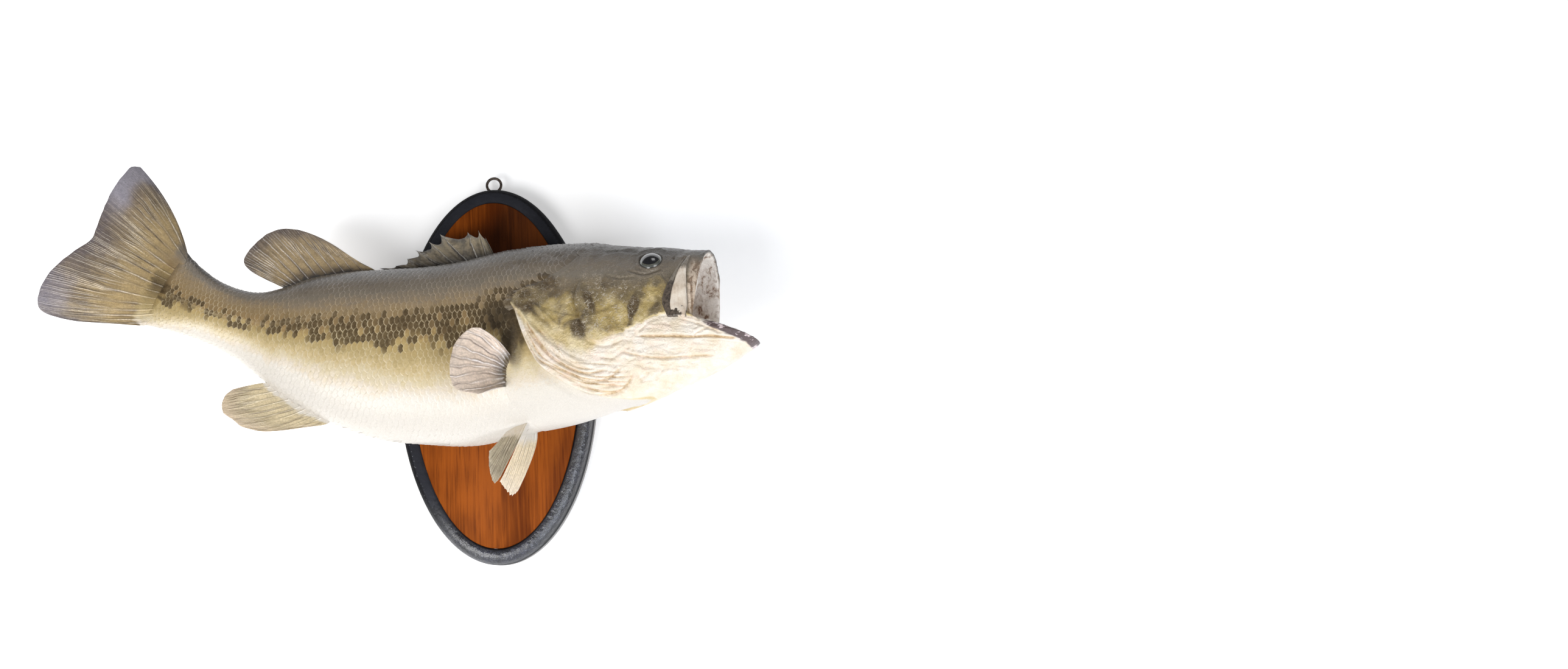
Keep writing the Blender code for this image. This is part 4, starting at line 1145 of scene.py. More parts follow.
# ---------------------------------------------------------- upper jaw bones
# On each side a flat bone, the maxilla, hangs from the snout behind the upper
# lip, with a thin dark bone along its rear edge. They are painted bone and lie
# loose on the head, so their edges stand out.
MAXILLA_FRONT = ((167, 77), (167.2, 64.5), (169.4, 50.5), (171.6, 35), (171.5, 24.5))
MAXILLA_REAR = ((163.5, 77), (158.5, 60), (154.2, 46), (152.8, 37), (154.3, 30), (158, 24))
MAXILLA_CREVICE = ((165, 76), (162.1, 64.1), (160.3, 53.3), (159, 43.3), (158.9, 33.7), (161.5, 24))
MAXILLA_ROWS, MAXILLA_COLUMNS = 56, 30
MAXILLA_TOP, MAXILLA_SUNK, MAXILLA_THICK = 2.3, -1.4, 0.5


def double_faces(rows, columns, flipped=False):
    """Faces of two like grids of points, joined round their border."""
    count = rows * columns
    faces = grid_faces(rows, columns, flipped=flipped)
    faces += grid_faces(rows, columns, first=count, flipped=not flipped)
    border = list(range(columns)) + [columns * i + columns - 1 for i in range(1, rows)]
    border += [count - 1 - j for j in range(1, columns)] + [columns * i for i in range(rows - 2, 0, -1)]
    for a, b in zip(border, border[1:] + border[:1]):
        near, far = (a, b) if flipped else (b, a)
        faces.append((near, far, count + far, count + near))
    return faces


bone_finish, bone_tree, bone_shader = new_finish("painted_jaw_bone", Coat_Weight=0.3, Coat_Roughness=0.15)
bone_soft = noise(bone_tree, 150.0, 3.0, 0.6)
bone_grit = noise(bone_tree, 600.0, 4.0, 0.65)
bone_streak = noise(bone_tree, (500.0, 500.0, 70.0), 3.0, 0.6)
bone_cloud = plus(bone_tree, times(bone_tree, bone_soft, 0.6), times(bone_tree, bone_streak, 0.4))
bone_colour = ramp(bone_tree, bone_cloud,
                   [(0.34, (0.52, 0.41, 0.30)), (0.48, (0.72, 0.61, 0.49)), (0.66, (0.85, 0.77, 0.66))])
skin_over = plus(bone_tree, value(bone_tree, "covered"), swing(bone_tree, bone_grit, 0.8))
bone_colour = mix(bone_tree, remap(bone_tree, skin_over, 0.3, 0.7), bone_colour,
                  two_tone(bone_tree, bone_streak, 0.35, 0.65, (0.17, 0.145, 0.115), (0.27, 0.235, 0.185)))
stain = plus(bone_tree, value(bone_tree, "stain"), swing(bone_tree, bone_grit, 0.9))
bone_colour = mix(bone_tree, remap(bone_tree, stain, 0.35, 0.65), bone_colour,
                  two_tone(bone_tree, bone_grit, 0.35, 0.65, (0.045, 0.035, 0.028), (0.13, 0.10, 0.075)))
connect(bone_tree, bone_shader, Base_Color=bone_colour, Normal=bump(bone_tree, bone_grit, 0.0002),
        Roughness=remap(bone_tree, bone_grit, 0.3, 0.7, 0.28, 0.45))

drop = np.linspace(0.0, 1.0, MAXILLA_ROWS)[:, None]
over = np.linspace(0.0, 1.0, MAXILLA_COLUMNS)[None, :]
front_edge, rear_edge = (spread(edge, MAXILLA_ROWS)[:, None] for edge in (MAXILLA_FRONT, MAXILLA_REAR))
bone_along, bone_height = np.moveaxis(front_edge + (rear_edge - front_edge) * over[..., None], -1, 0)
bone_number, bone_angle = on_flank(bone_along, bone_height)
before_crevice, _run = nearest_on(MAXILLA_CREVICE, bone_along, bone_height)
on_rear_bone = ease(-before_crevice, -0.3, 0.5)
# Millimetres from the bone's border, about.
border = np.minimum(np.minimum(drop, 1 - drop) * 52, np.minimum(over, 1 - over) * 16)
swell = np.sqrt(np.clip(1 - (1 - np.clip(border / 2.2, 0, 1)) ** 2, 0, 1))
bone_lift = MAXILLA_SUNK + (MAXILLA_TOP - 1.2 * ease(drop, 0.35, 0.0) - MAXILLA_SUNK) * swell
bone_lift = bone_lift - 0.9 * ease(-before_crevice, -0.4, 0.4) * swell
bone_lift = bone_lift - 0.8 * hump(before_crevice, 0.5) * swell
bone_lift = bone_lift + 0.35 * np.sin(bone_height * 0.28 + 1.0) * swell * ease(before_crevice, 0, 3)
bone_speckle = uneven(bone_along * 0.5, bone_height * 0.5, 71)
bone_stain = on_rear_bone * ease(bone_height + 2 * bone_speckle, 56, 47)
bone_stain = np.maximum(bone_stain, hump(before_crevice, 0.6) * ease(bone_height, 66, 50))
bone_stain = np.maximum(bone_stain, ease(bone_height + 3 * bone_speckle, 33, 28)
                        * ease(bone_along + 3 * bone_speckle, 171, 163))
covered = np.maximum(ease(bone_height, 57, 70), on_rear_bone * ease(bone_height, 44, 52))
covered = np.maximum(covered, 0.9 * (1 - ease(border, 0.2, 1.0)))
bone_faces = double_faces(MAXILLA_ROWS, MAXILLA_COLUMNS, flipped=True)
for word, side in (("right", RIGHT), ("left", LEFT)):
    bone_points = [skin_at(bone_number, side * bone_angle, lift) for lift in (
        bone_lift, np.full(bone_lift.shape, MAXILLA_SUNK - MAXILLA_THICK))]
    bone = add_piece("maxilla_bone_" + word, bone_points, bone_faces, bone_finish, "jaw_bone",
                     "maxilla_" + word, crease=180.0)
    give_values(bone.data, {"stain": [bone_stain] * 2, "covered": [covered] * 2})


# ---------------------------------------------------------------------- eyes
# The eyes are glass: a clear dome over a painted iris with a wide dark pupil,
# set in putty in the socket.
EYE_RADIUS, EYE_SINK = 10.4475, 6.5
EYE_RINGS, EYE_SIDES = 40, 64

eye_finish, eye_tree, eye_shader = new_finish("painted_glass_eye", Roughness=0.25, Coat_Weight=1.0,
                                              Coat_Roughness=0.02, Coat_IOR=1.6)
iris_grit = noise(eye_tree, 900.0, 4.0, 0.7)
iris_place = plus(eye_tree, value(eye_tree, "out"), swing(eye_tree, iris_grit, 0.03))
iris_colour = ramp(eye_tree, iris_place, [
    (0.00, (0.008, 0.008, 0.010)), (0.63, (0.010, 0.010, 0.012)), (0.65, (0.11, 0.107, 0.08)),
    (0.70, (0.08, 0.083, 0.075)), (0.75, (0.13, 0.134, 0.12)), (0.79, (0.08, 0.083, 0.075)),
    (0.84, (0.02, 0.02, 0.018))])
iris_shade = grey(eye_tree, remap(eye_tree, iris_grit, 0.35, 0.65, 0.75, 1.2))
connect(eye_tree, eye_shader, Base_Color=mix(eye_tree, 1.0, iris_colour, iris_shade, "MULTIPLY"))

polar = np.linspace(0.0, math.pi, EYE_RINGS)[1:-1, None, None]
turn = np.linspace(0.0, math.tau, EYE_SIDES, endpoint=False)[None, :, None]
last_ring, front_point = EYE_SIDES * (EYE_RINGS - 3), EYE_SIDES * (EYE_RINGS - 2)
back_point = front_point + 1
eye_faces = grid_faces(EYE_RINGS - 2, EYE_SIDES, closed=True)
eye_faces += [(j, front_point, (j + 1) % EYE_SIDES) for j in range(EYE_SIDES)]
eye_faces += [(last_ring + (j + 1) % EYE_SIDES, back_point, last_ring + j) for j in range(EYE_SIDES)]
# How far out of the middle each point shows, and 1 all over the back half.
out_of_middle = np.where(np.cos(polar) < 0, 1.0, np.sin(polar)) * np.ones_like(turn)
out_of_middle = np.append(out_of_middle, [0.0, 1.0])
eye_number, eye_angle = on_flank(*EYE_PLACE)
for word, side in (("right", RIGHT), ("left", LEFT)):
    middle = skin_at(eye_number, side * eye_angle, -EYE_SINK)
    facing = skin_at(eye_number, side * eye_angle, 0.0) - middle
    facing /= np.linalg.norm(facing)
    sideways = np.cross((0.0, 0.0, 1.0), facing)
    sideways /= np.linalg.norm(sideways)
    upward = np.cross(facing, sideways)
    ball = facing * np.cos(polar) + (sideways * np.cos(turn) + upward * np.sin(turn)) * np.sin(polar)
    points = np.concatenate([ball.reshape(-1, 3), [facing, -facing]]) * EYE_RADIUS * MM + middle
    eye = add_piece("glass_eye_" + word, points, eye_faces, eye_finish, "eye_glass", "eye_" + word,
                    crease=180.0)
    give_values(eye.data, {"out": out_of_middle})


# ---------------------------------------------------------------------- fins
# The fins are dried skin stretched on bony rays that split in two towards
# their tips. The front back fin has stiff spines with a notched web between.
FIN_LIFT = 1.2
# Half thicknesses of the web and of a ray, and the share of a ray's length
# that is tucked into the body.
WEB_HALF, RAY_HALF = 0.14, 0.42
TUCKED_IN = 0.07


def fin_paint_group():
    """Stained webs with pale rays, partly painted highlight, dark lines beside them, partly painted shadow,
    and a grey margin.
    """
    tree, given, result = new_group(
        "fin_paint",
        [("Root", "Color", (0.2, 0.15, 0.09, 1)), ("Web", "Color", (0.4, 0.3, 0.2, 1)),
         ("Margin", "Color", (0.3, 0.25, 0.22, 1)), ("Line", "Color", (0.1, 0.07, 0.05, 1)),
         ("Ray", "Color", (0.4, 0.33, 0.25, 1)), ("Line Strength", "Float", 0.6),
         ("Ray Strength", "Float", 0.4), ("Blotches", "Float", 0.3), ("Root End", "Float", 0.3),
         ("Margin Start", "Float", 0.7), ("Margin Fade", "Float", 0.2)],
        [("Color", "Color"), ("Roughness", "Float"), ("Height", "Float")])

    soft = noise(tree, 110.0, 3.0, 0.6)
    grit = noise(tree, 700.0, 4.0, 0.65)
    out = plus(tree, value(tree, "out"), swing(tree, soft, 0.35))
    in_web = node(tree, "MapRange", {0: out, 1: 0.0, 2: given["Root End"]}).outputs[0]
    at_margin = node(tree, "MapRange", {0: out, 1: given["Margin Start"], 2: 1.0}).outputs[0]
    colour = mix(tree, in_web, given["Root"], given["Web"])
    colour = mix(tree, at_margin, colour, given["Margin"])
    spotted = times(tree, remap(tree, soft, 0.48, 0.66), given["Blotches"])
    colour = mix(tree, spotted, colour, given["Line"])
    # Pale rays, partly painted highlight.
    bony = times(tree, value(tree, "ray"), given["Ray Strength"])
    bony = times(tree, bony, remap(tree, grit, 0.35, 0.6, 0.45, 1.0))
    bony = times(tree, bony, minus(tree, 1.0, times(tree, at_margin, given["Margin Fade"])))
    colour = mix(tree, bony, colour, given["Ray"])
    # Dark lines beside the rays, partly painted shadow.
    line = times(tree, value(tree, "groove"), given["Line Strength"])
    line = times(tree, line, remap(tree, grit, 0.3, 0.6, 0.5, 1.0))
    faded = times(tree, at_margin, times(tree, given["Margin Fade"], 0.6))
    line = times(tree, line, minus(tree, 1.0, faded))
    colour = mix(tree, line, colour, given["Line"])
    colour = mix(tree, value(tree, "frost"), colour, (0.31, 0.29, 0.33, 1))
    shade = times(tree, remap(tree, grit, 0.3, 0.7, 0.84, 1.12), value(tree, "light"))
    colour = mix(tree, 1.0, colour, grey(tree, shade), "MULTIPLY")
    connect(tree, result, Color=colour, Roughness=remap(tree, grit, 0.3, 0.7, 0.30, 0.5),
            Height=plus(tree, grit, soft))
    return tree


fin_paint = fin_paint_group()


def fin_finish(name, **values):
    """Varnished fin skin with its own colours, blending into the bass's skin."""
    made, tree, shader = new_finish(name, Coat_Weight=0.45, Coat_Roughness=0.10)
    paint = placed(tree, fin_paint, {key.replace("_", " "): setting for key, setting in values.items()})
    flesh = placed(tree, bass_paint, {"Net": 0.0})
    uneven_skin = bump(tree, paint["Height"], 0.0004)
    connect(tree, shader, Base_Color=mix(tree, value(tree, "flesh"), paint["Color"], flesh["Color"]),
            Roughness=paint["Roughness"], Normal=uneven_skin, Coat_Normal=uneven_skin)
    return made


def ridge_point(along, angle, lift):
    """A fin's root point over the back (angle 0) or under the belly (pi)."""
    low, high = 0.0, 16.0
    for _ in range(40):
        number = (low + high) / 2
        if section_point(number, angle)[0] < along:
            low = number
        else:
            high = number
    height = float(section_point(number, angle)[1])
    return along, height + math.copysign(lift, math.cos(angle)), 0.0


def ray_rows(roots, tips, bends):
    """Rays in the fish's mid plane: rows of root, middle and tip."""
    bends = spread([(0.0, *bend) for bend in bends], len(tips))
    rows = []
    for root, tip, (_zero, along, height) in zip(roots, tips, bends):
        middle = ((root[0] + tip[0]) / 2 + along, (root[1] + tip[1]) / 2 + height, 0.0)
        rows.append(((root[0], root[1], 0.0), middle, (*tip, 0.0)))
    return rows


def add_fin(name, rows, finish, *, rays=0, steps=60, per_ray=30, branches=(0.0, 0.5), notch=0.0,
            spiny=False, ragged=0.0, sway=0.0, flesh=(0.05,), tone=(0.0,), light=(1.0,), mark=(0.0,),
            frost=(0.0,), ray_half=RAY_HALF, ray_width=0.42, line_width=0.32, swell=0.0):
    """A fin with raised, splitting rays on both faces, as one closed mesh."""
    rays = rays or len(rows) - 1
    wide = rays * per_ray + 1
    share = np.linspace(0.0, 1.0, wide)
    lines = [spread([row[k] for row in rows], wide)[:, None] for k in range(3)]
    flesh, tone, light, mark, frost = (np.interp(share, np.linspace(0, 1, len(v)), v)[:, None]
                                       for v in (flesh, tone, light, mark, frost))
    wander = chance.random(rays * 2 + 2)
    tear = np.interp(share * rays * 2, np.arange(rays * 2 + 2), wander)
    dip = ragged * tear * np.abs(np.sin(math.pi * rays * share))
    if spiny:
        dip = notch * np.abs(np.sin(math.pi * rays * share)) ** 0.6 * (0.7 + 0.6 * tear)
    out = np.linspace(-TUCKED_IN, 1.0, steps)[None, :]
    u = np.where(out > 0, out * (1 - dip[:, None]), out)[..., None]
    points = lines[0] * (1 - u) * (1 - 2 * u) + lines[1] * 4 * u * (1 - u) + lines[2] * u * (2 * u - 1)
    middle_face = place(points[..., 0], points[..., 1], points[..., 2])
    normal = np.cross(np.gradient(middle_face, axis=0), np.gradient(middle_face, axis=1))
    normal /= np.maximum(np.linalg.norm(normal, axis=-1), 1e-12)[..., None]
    apart = np.linalg.norm(np.gradient(middle_face, axis=0), axis=-1) * per_ray / MM
    across = share[:, None] * rays * np.ones_like(out)
    at = across + sway * uneven(across * 0.45, out * 3.0, rays) * ease(out, 0, 0.3)
    at = at + 0.05 * uneven(across * 1.1, out * 6.0, rays + 9) * ease(out, 0, 0.2)
    whole = np.floor(at + 0.5)
    off_ray = (at - whole) * apart
    # Pale rays, partly painted highlight, and dark lines at the foot of each ray, partly painted shadow
    # beside it and partly dark lines in the skin.
    ray, groove = np.zeros_like(at), np.zeros_like(at)
    width = ray_width * (1 - 0.35 * out)
    for step, split in enumerate(branches):
        lucky = np.clip(0.62 + 0.9 * uneven(whole * 3.7 + 11.3 * step, out * 2.2, rays + 3), 0.1, 1.0)
        lucky_line = np.clip(0.55 + 1.0 * uneven(whole * 5.1 + 7.9 * step, out * 2.6, rays + 5), 0.0, 1.0)
        shown = ease(out, 0.25, 0.65) if step else 1 - 0.6 * ease(out, 0.55, 0.9) * (len(branches) > 1)
        split_at = split * apart * ease(out, 0.05, 0.7)
        for sign in ((-1, 1) if 0 < split < 0.5 else (1,)):
            gap = off_ray - sign * split_at
            if split == 0.5:
                gap = (at - np.floor(at) - 0.5) * apart
            ray = np.maximum(ray, shown * lucky * hump(gap, width))
            groove = np.maximum(groove, shown * lucky_line * hump(gap - 1.6 * width, line_width))
            groove = np.maximum(groove, 0.35 * shown * hump(gap + 1.7 * width, line_width))
    thick = WEB_HALF + (ray_half - WEB_HALF) * ray * (1 - 0.5 * np.clip(out, 0, 1))
    rim = np.minimum(np.minimum(share, 1 - share)[:, None] * 125, (1 - out) / 0.012)
    thick = thick * (0.35 + 0.65 * np.clip(rim, 0, 1))
    rounded = np.sqrt(np.clip(1 - (2 * share[:, None] - 1) ** 4, 0, 1))
    thick = thick + swell * rounded * (1 - ease(out / (1.7 * flesh), -0.3, 1.0)) ** 1.5
    web_wave = 0.45 * uneven(across * 0.7, out * 4.0, 81) * ease(out, 0.0, 0.3)
    if spiny:
        web_wave = 1.6 * np.sin(math.tau * at) * ease(out, -0.05, 0.3) * (1 - 0.5 * out)
    middle_face = middle_face + normal * (web_wave * (1 - ray))[..., None] * MM
    half = normal * thick[..., None] * MM
    fin = add_piece(name + "_rays", [middle_face + half, middle_face - half], double_faces(wide, steps),
                    finish, "fin_membrane", name, crease=80.0)
    started = ease(out + 0.05 * uneven(across * 1.9, out * 6, 82), 0.6 * flesh, 1.2 * flesh + 0.03)
    at_side = ease(np.abs(2 * share[:, None] - 1), 0.86, 1.0) * ease(out, 0.1, 0.45)
    frosted = ease(out + 0.06 * uneven(across * 0.5, out * 5, 83), 0.70, 0.88)
    values = {"out": np.clip(out + 0.35 * at_side, 0, 1), "groove": np.clip(groove, 0, 1) * started,
              "ray": ray * (0.3 + 0.7 * started), "flesh": 1 - started, "tone": tone, "light": light,
              "blotch": mark * (1 - started), "frost": frost * frosted}
    give_values(fin.data, {key: [np.broadcast_to(v, at.shape)] * 2 for key, v in values.items()})


back, belly = 0.0, math.pi
# The spiny fin's pale rays are painted glints, and its near-black root is partly its dark base and partly
# painted shade where it meets the back.
spiny_paint = fin_finish("spiny_fin_skin", Root=(0.022, 0.021, 0.021, 1), Web=(0.22, 0.18, 0.12, 1),
                         Margin=(0.17, 0.15, 0.12, 1), Line=(0.018, 0.016, 0.015, 1), Line_Strength=1.0,
                         Ray=(0.62, 0.59, 0.55, 1), Ray_Strength=1.0, Blotches=0.55, Root_End=0.62,
                         Margin_Start=0.8)
soft_paint = fin_finish("soft_back_fin_skin", Root=(0.075, 0.060, 0.050, 1), Web=(0.41, 0.30, 0.16, 1),
                        Margin=(0.140, 0.110, 0.095, 1), Line=(0.060, 0.040, 0.026, 1), Line_Strength=1.0,
                        Ray=(0.84, 0.76, 0.68, 1), Ray_Strength=1.0, Blotches=0.25, Root_End=0.20,
                        Margin_Start=0.66, Margin_Fade=0.4)
tail_paint = fin_finish("tail_fin_skin", Root=(0.27, 0.19, 0.09, 1), Web=(0.39, 0.28, 0.13, 1),
                        Margin=(0.135, 0.112, 0.122, 1), Line=(0.050, 0.034, 0.026, 1), Line_Strength=1.0,
                        Ray=(0.84, 0.72, 0.55, 1), Ray_Strength=0.95, Blotches=0.18, Root_End=0.35,
                        Margin_Start=0.50, Margin_Fade=0.7)
anal_paint = fin_finish("anal_fin_skin", Root=(0.60, 0.51, 0.34, 1), Web=(0.66, 0.54, 0.335, 1),
                        Margin=(0.74, 0.58, 0.41, 1), Line=(0.12, 0.08, 0.04, 1), Line_Strength=1.0,
                        Ray=(0.80, 0.72, 0.56, 1), Ray_Strength=0.6, Blotches=0.05, Root_End=0.2,
                        Margin_Start=0.6)
chest_paint = fin_finish("chest_fin_skin", Root=(0.11, 0.10, 0.085, 1), Web=(0.72, 0.575, 0.46, 1),
                         Margin=(0.76, 0.63, 0.52, 1), Line=(0.12, 0.075, 0.055, 1), Line_Strength=1.0,
                         Ray=(0.84, 0.80, 0.78, 1), Ray_Strength=0.9, Blotches=0.16, Root_End=0.26,
                         Margin_Start=0.55)
pelvic_paint = fin_finish("pelvic_fin_skin", Root=(0.40, 0.33, 0.21, 1), Web=(0.45, 0.38, 0.26, 1),
                          Margin=(0.62, 0.53, 0.39, 1), Line=(0.09, 0.07, 0.04, 1), Line_Strength=1.0,
                          Ray=(0.62, 0.54, 0.42, 1), Ray_Strength=0.6, Blotches=0.35, Root_End=0.2,
                          Margin_Start=0.75)
far_pelvic_paint = fin_finish("far_pelvic_fin_skin", Root=(0.60, 0.50, 0.31, 1), Web=(0.74, 0.62, 0.43, 1),
                              Margin=(0.90, 0.78, 0.62, 1), Line=(0.26, 0.19, 0.10, 1), Line_Strength=0.8,
                              Ray=(0.88, 0.80, 0.66, 1), Ray_Strength=0.5, Blotches=0.08, Root_End=0.35,
                              Margin_Start=0.6)

spiny_roots = [ridge_point(a, back, FIN_LIFT) for a in (-1, -7, -14, -21, -31, -40, -53, -65, -80)]
spiny_tips = ((-11, 112), (-16, 116.5), (-24, 115), (-45, 113.5), (-53, 107), (-63, 100), (-69, 92.5),
              (-77, 86.5), (-89, 84))
add_fin("spiny_dorsal_fin", ray_rows(spiny_roots, spiny_tips, ((0, 0), (0, 0))), spiny_paint,
        branches=(0.0,), notch=0.24, spiny=True, flesh=(0.01,), light=(1.7, 1.6, 1.2, 0.8, 0.7),
        ray_half=0.8, ray_width=0.6, line_width=0.9)
soft_roots = [ridge_point(a, back, FIN_LIFT) for a in (-91, -101, -108, -115, -121.5, -128, -135, -141.5,
                                                       -147, -150.5, -153.5, -156, -158, -159.5)]
soft_tips = ((-103, 87), (-122, 101), (-134, 108), (-143.5, 112), (-152.5, 114.5), (-161.5, 115),
             (-168, 113.5), (-175.5, 109.5), (-181.5, 103), (-186.5, 96), (-190, 88.5), (-189, 83),
             (-183, 77.5), (-172.5, 72))
add_fin("soft_dorsal_fin", ray_rows(soft_roots, soft_tips, ((0, 1), (-1, 2), (0, 0))), soft_paint,
        branches=(0.0, 0.25, 0.5), ragged=0.008, flesh=(0.01,), tone=(0.1,), line_width=0.6,
        ray_half=0.75)
tail_roots = spread([(-231.5, 93, 0), (-259, 31.5, 0)], 17)
tail_tips = ((-269, 156.3), (-276, 155.4), (-283, 145), (-288.5, 133), (-291.5, 123.5), (-293.5, 116),
             (-296.5, 104), (-299.5, 96), (-309, 87.5), (-317, 79.5), (-325, 69.5), (-330, 58),
             (-331.5, 48), (-329.5, 41), (-322, 36.5), (-304.5, 33), (-283, 32.5))
add_fin("tail_fin", ray_rows(tail_roots, tail_tips, ((4, 2), (0, 0), (0, 0), (0, -2), (0, 0))), tail_paint,
        steps=90, per_ray=34, branches=(0.0, 0.13, 0.25, 0.38, 0.5), ragged=0.006,
        flesh=(0.05, 0.10, 0.15, 0.17, 0.15, 0.10, 0.06), tone=(0.20, 0.40, 0.54, 0.56, 0.58, 0.66, 0.74),
        light=(0.62, 1.05, 1.05, 1.05, 1.25, 1.3, 0.8), mark=(0.5, 0.3, 0.4, 0.9, 0.4, 0, 0), swell=2.3,
        frost=(0.85, 0.85, 0.9, 0.15, 0.0, 0.0, 0.0, 0.0, 0.35, 0.5, 0.3, 0.0, 0.0),
        ray_width=0.48, line_width=0.70, ray_half=0.72)
anal_roots = [ridge_point(a, belly, FIN_LIFT) for a in (-168, -164, -159.5, -155, -150, -145.5, -141,
                                                        -137, -132.5, -128.5, -124.5, -120.5, -117)]
anal_tips = ((-190, -15.5), (-195, -20), (-197, -25.5), (-197, -30), (-195.5, -34), (-191.5, -37),
             (-187, -40), (-182, -44), (-174, -46.5), (-166, -48), (-154.5, -47.5), (-142, -45.5),
             (-131, -43.5))
add_fin("anal_fin", ray_rows(anal_roots, anal_tips, ((0, 0.5), (0, -1), (0, -2.5), (0, -1))), anal_paint,
        branches=(0.0, 0.22, 0.5), ragged=0.008, flesh=(0.05,), tone=(0.75,), line_width=0.5,
        ray_half=0.6)

chest_spots = ((37.5, -1.5), (35, -5), (33, -8.5), (32.5, -12), (32.5, -15.5), (32.5, -19), (33, -24.5))
chest_roots = spread([section_point(*on_flank(a, h)) for a, h in chest_spots], 9)
chest_middles = ((31, 5.5), (25, 5), (20, 3), (16, -4), (15.5, -11), (15.5, -16), (17, -23), (21, -30),
                 (31, -32.5))
chest_tips = ((17, 13), (9, 13), (2, 9), (-5, 1), (-7.5, -9), (-7.5, -17), (-5.5, -26), (2, -34),
              (22, -37.5))
chest_rows = [((a - 0.5, h, w + 1.4), (*middle, 54), (*tip, 60))
              for (a, h, w), middle, tip in zip(chest_roots, chest_middles, chest_tips)]
add_fin("pectoral_fin_right", chest_rows, chest_paint, rays=10, per_ray=40, ragged=0.008, sway=0.3,
        branches=(0.0,), flesh=(0.01,), tone=(0.3,), mark=(1.0,), ray_width=0.7, line_width=0.6,
        ray_half=0.8)
far_lines = []
for line in (((38, -4), (37, -14), (35, -24)), ((12, 0), (8, -12), (10, -24)),
             ((-12, 2), (-20, -11), (-12, -24))):
    spots = [section_point(*on_flank(a, h)) for a, h in line]
    far_lines.append([(a, h, -w - 1.8) for a, h, w in spots])
add_fin("pectoral_fin_left", list(zip(*far_lines)), chest_paint, rays=9, per_ray=24, ragged=0.012,
        branches=(0.0, 0.3), ray_width=0.75, flesh=(0.01,), tone=(0.5,))
near_rows = (((43.5, -49, 14), (37, -69.5, 18), (29.5, -88.5, 21)),
             ((37.5, -50.5, 14), (30.5, -71.5, 18), (24.5, -93, 21)),
             ((32.5, -52, 14), (26, -69, 18), (19, -81.5, 21)),
             ((26.5, -54, 14), (21.5, -63, 18), (17.5, -69, 21)))
add_fin("pelvic_fin_right", near_rows, pelvic_paint, rays=7, per_ray=30, ragged=0.03, flesh=(0.16, 0.10),
        tone=(0.72,))
far_rows = (((41, -45, -12), (37.5, -61, -18), (26.5, -90, -20)),
            ((37, -44.5, -12), (31, -66, -18), (22, -93, -20)),
            ((33, -44, -12), (24, -66, -18), (17, -88, -20)),
            ((30, -43.5, -12), (20.5, -63, -18), (12, -82, -20)))
add_fin("pelvic_fin_left", far_rows, far_pelvic_paint, rays=7, per_ray=30, ragged=0.03, flesh=(0.22,),
        tone=(0.85,))


# ---------------------------------------------------------- wall, light, camera
# A pale wall stands right behind the board and a pale floor lies well below.
# The light is soft and comes from the front, most of it from low down.
WALL_GAP = 0.0015
FLOOR_HEIGHT = -1.25
CAMERA_PLACE = (0.2309, -1.1918, -0.1783)
CAMERA_LENS = 34.19
CAMERA_TILT = math.radians(99.5)
CAMERA_ROLL = math.radians(-3.2)


def add_backdrop(name, points, material):
    """A flat stage piece."""
    mesh = bpy.data.meshes.new(name)
    mesh.from_pydata(points, [], [tuple(range(len(points)))])
    mesh.materials.append(material)
    piece = bpy.data.objects.new(name, mesh)
    bpy.context.scene.collection.objects.link(piece)


plaster, plaster_tree, plaster_shader = new_finish("pale_wall", Roughness=0.9, Specular_IOR_Level=0.1,
                                                   Emission_Color=(1, 1, 1, 1))
cloud = noise(plaster_tree, 3.0, 2.0)
connect(plaster_tree, plaster_shader,
        Base_Color=ramp(plaster_tree, cloud, [(0.3, (0.90, 0.90, 0.91)), (0.7, (0.93, 0.93, 0.93))]))
# The wall glows with its own light, strongly on the left behind the tail and less on the right, which
# washes out shadows cast on it.
across_wall = where(plaster_tree)[0]
connect(plaster_tree, plaster_shader,
        Emission_Strength=remap(plaster_tree, across_wall, -0.20, -0.07, 0.85, 0.30))
see_through = node(plaster_tree, "BsdfTransparent")
back_of_wall = node(plaster_tree, "NewGeometry").outputs["Backfacing"]
wall_mix = node(plaster_tree, "MixShader", {0: back_of_wall, 1: plaster_shader.outputs[0],
                                            2: see_through.outputs[0]})
output = next(n for n in plaster_tree.nodes if n.type == "OUTPUT_MATERIAL")
plaster_tree.links.new(wall_mix.outputs[0], output.inputs["Surface"])
add_backdrop("wall", [(-4, WALL_GAP, FLOOR_HEIGHT), (4, WALL_GAP, FLOOR_HEIGHT), (4, WALL_GAP, 3.0),
                      (-4, WALL_GAP, 3.0)], plaster)

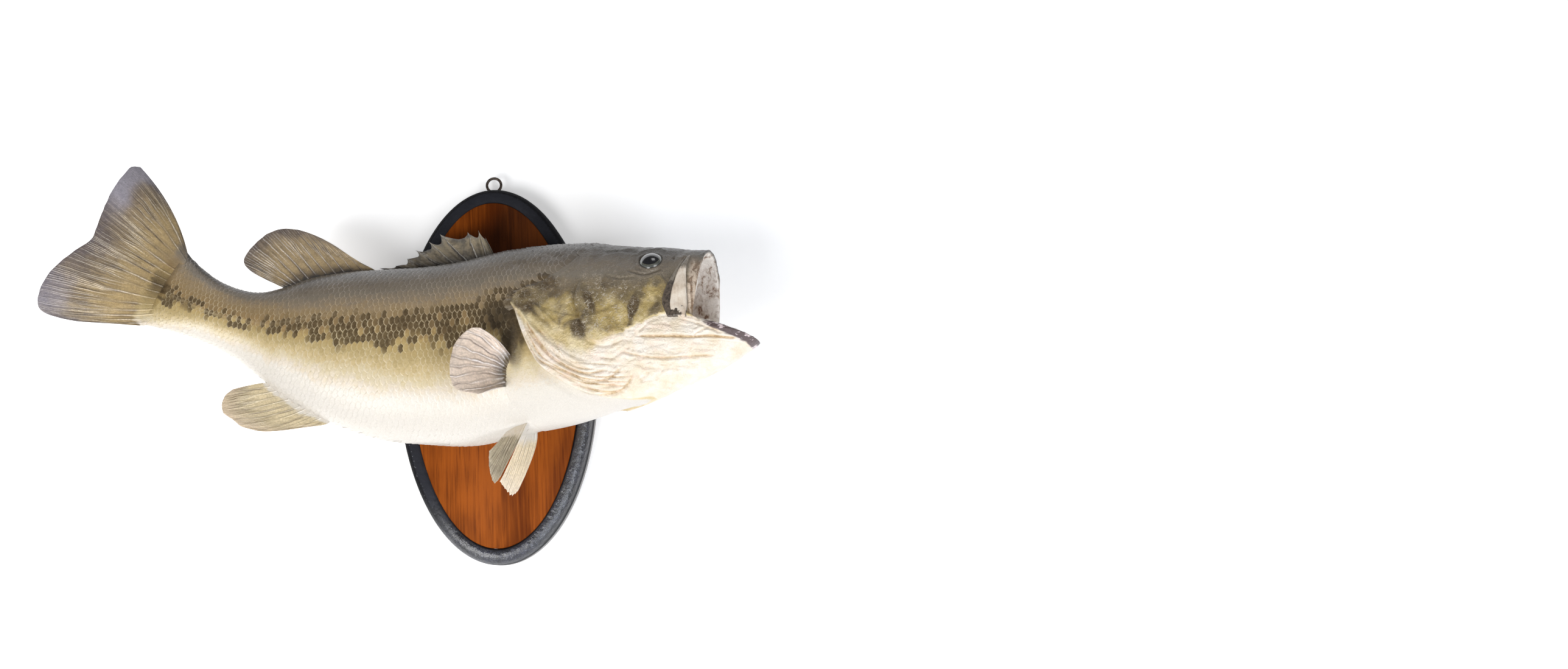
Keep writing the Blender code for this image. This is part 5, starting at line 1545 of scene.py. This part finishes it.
boards, boards_tree, boards_shader = new_finish("pale_floor", Roughness=0.7)
speck = noise(boards_tree, 6.0, 3.0)
connect(boards_tree, boards_shader,
        Base_Color=ramp(boards_tree, speck, [(0.3, (0.78, 0.78, 0.78)), (0.7, (0.83, 0.83, 0.83))]))
add_backdrop("floor", [(-4, -5, FLOOR_HEIGHT), (4, -5, FLOOR_HEIGHT), (4, 4, FLOOR_HEIGHT),
                       (-4, 4, FLOOR_HEIGHT)], boards)


def add_light(name, place_of_light, target, size, power):
    """A soft square light that faces a point."""
    lamp = bpy.data.lights.new(name, "AREA")
    lamp.shape = "SQUARE"
    lamp.size = size
    lamp.energy = power
    holder = bpy.data.objects.new(name, lamp)
    holder.location = place_of_light
    holder.rotation_euler = (Vector(target) - Vector(place_of_light)).to_track_quat("-Z", "Y").to_euler()
    bpy.context.scene.collection.objects.link(holder)
    return holder


add_light("low_left_light", (-0.85, -1.75, -0.82), (0.0, -0.05, 0.0), 0.95, 28.0)
add_light("right_front_light", (1.30, -2.0, -0.20), (0.0, 0.0, 0.0), 1.0, 11.0)
add_light("overhead_light", (0.45, -0.9, 1.30), (0.1, -0.05, 0.0), 0.55, 2.5)
cool = add_light("cool_low_light", (0.90, -1.00, -0.75), (0.0, 0.0, -0.05), 0.45, 8.0)
cool.data.color = (0.84, 0.90, 1.0)

world = bpy.data.worlds.new("studio")
bpy.context.scene.world = world
world.use_nodes = True
world.node_tree.nodes["Background"].inputs[0].default_value = (1.0, 1.0, 1.0, 1.0)
world.node_tree.nodes["Background"].inputs[1].default_value = 0.09
bpy.context.scene.view_settings.view_transform = "Standard"

lens = bpy.data.cameras.new("camera")
lens.lens = CAMERA_LENS
lens.sensor_width = 36.0
camera = bpy.data.objects.new("camera", lens)
camera.location = CAMERA_PLACE
facing_bass = Matrix.Rotation(CAMERA_TILT, 3, "X") @ Matrix.Rotation(CAMERA_ROLL, 3, "Z")
camera.rotation_euler = facing_bass.to_euler()
bpy.context.scene.collection.objects.link(camera)
bpy.context.scene.camera = camera
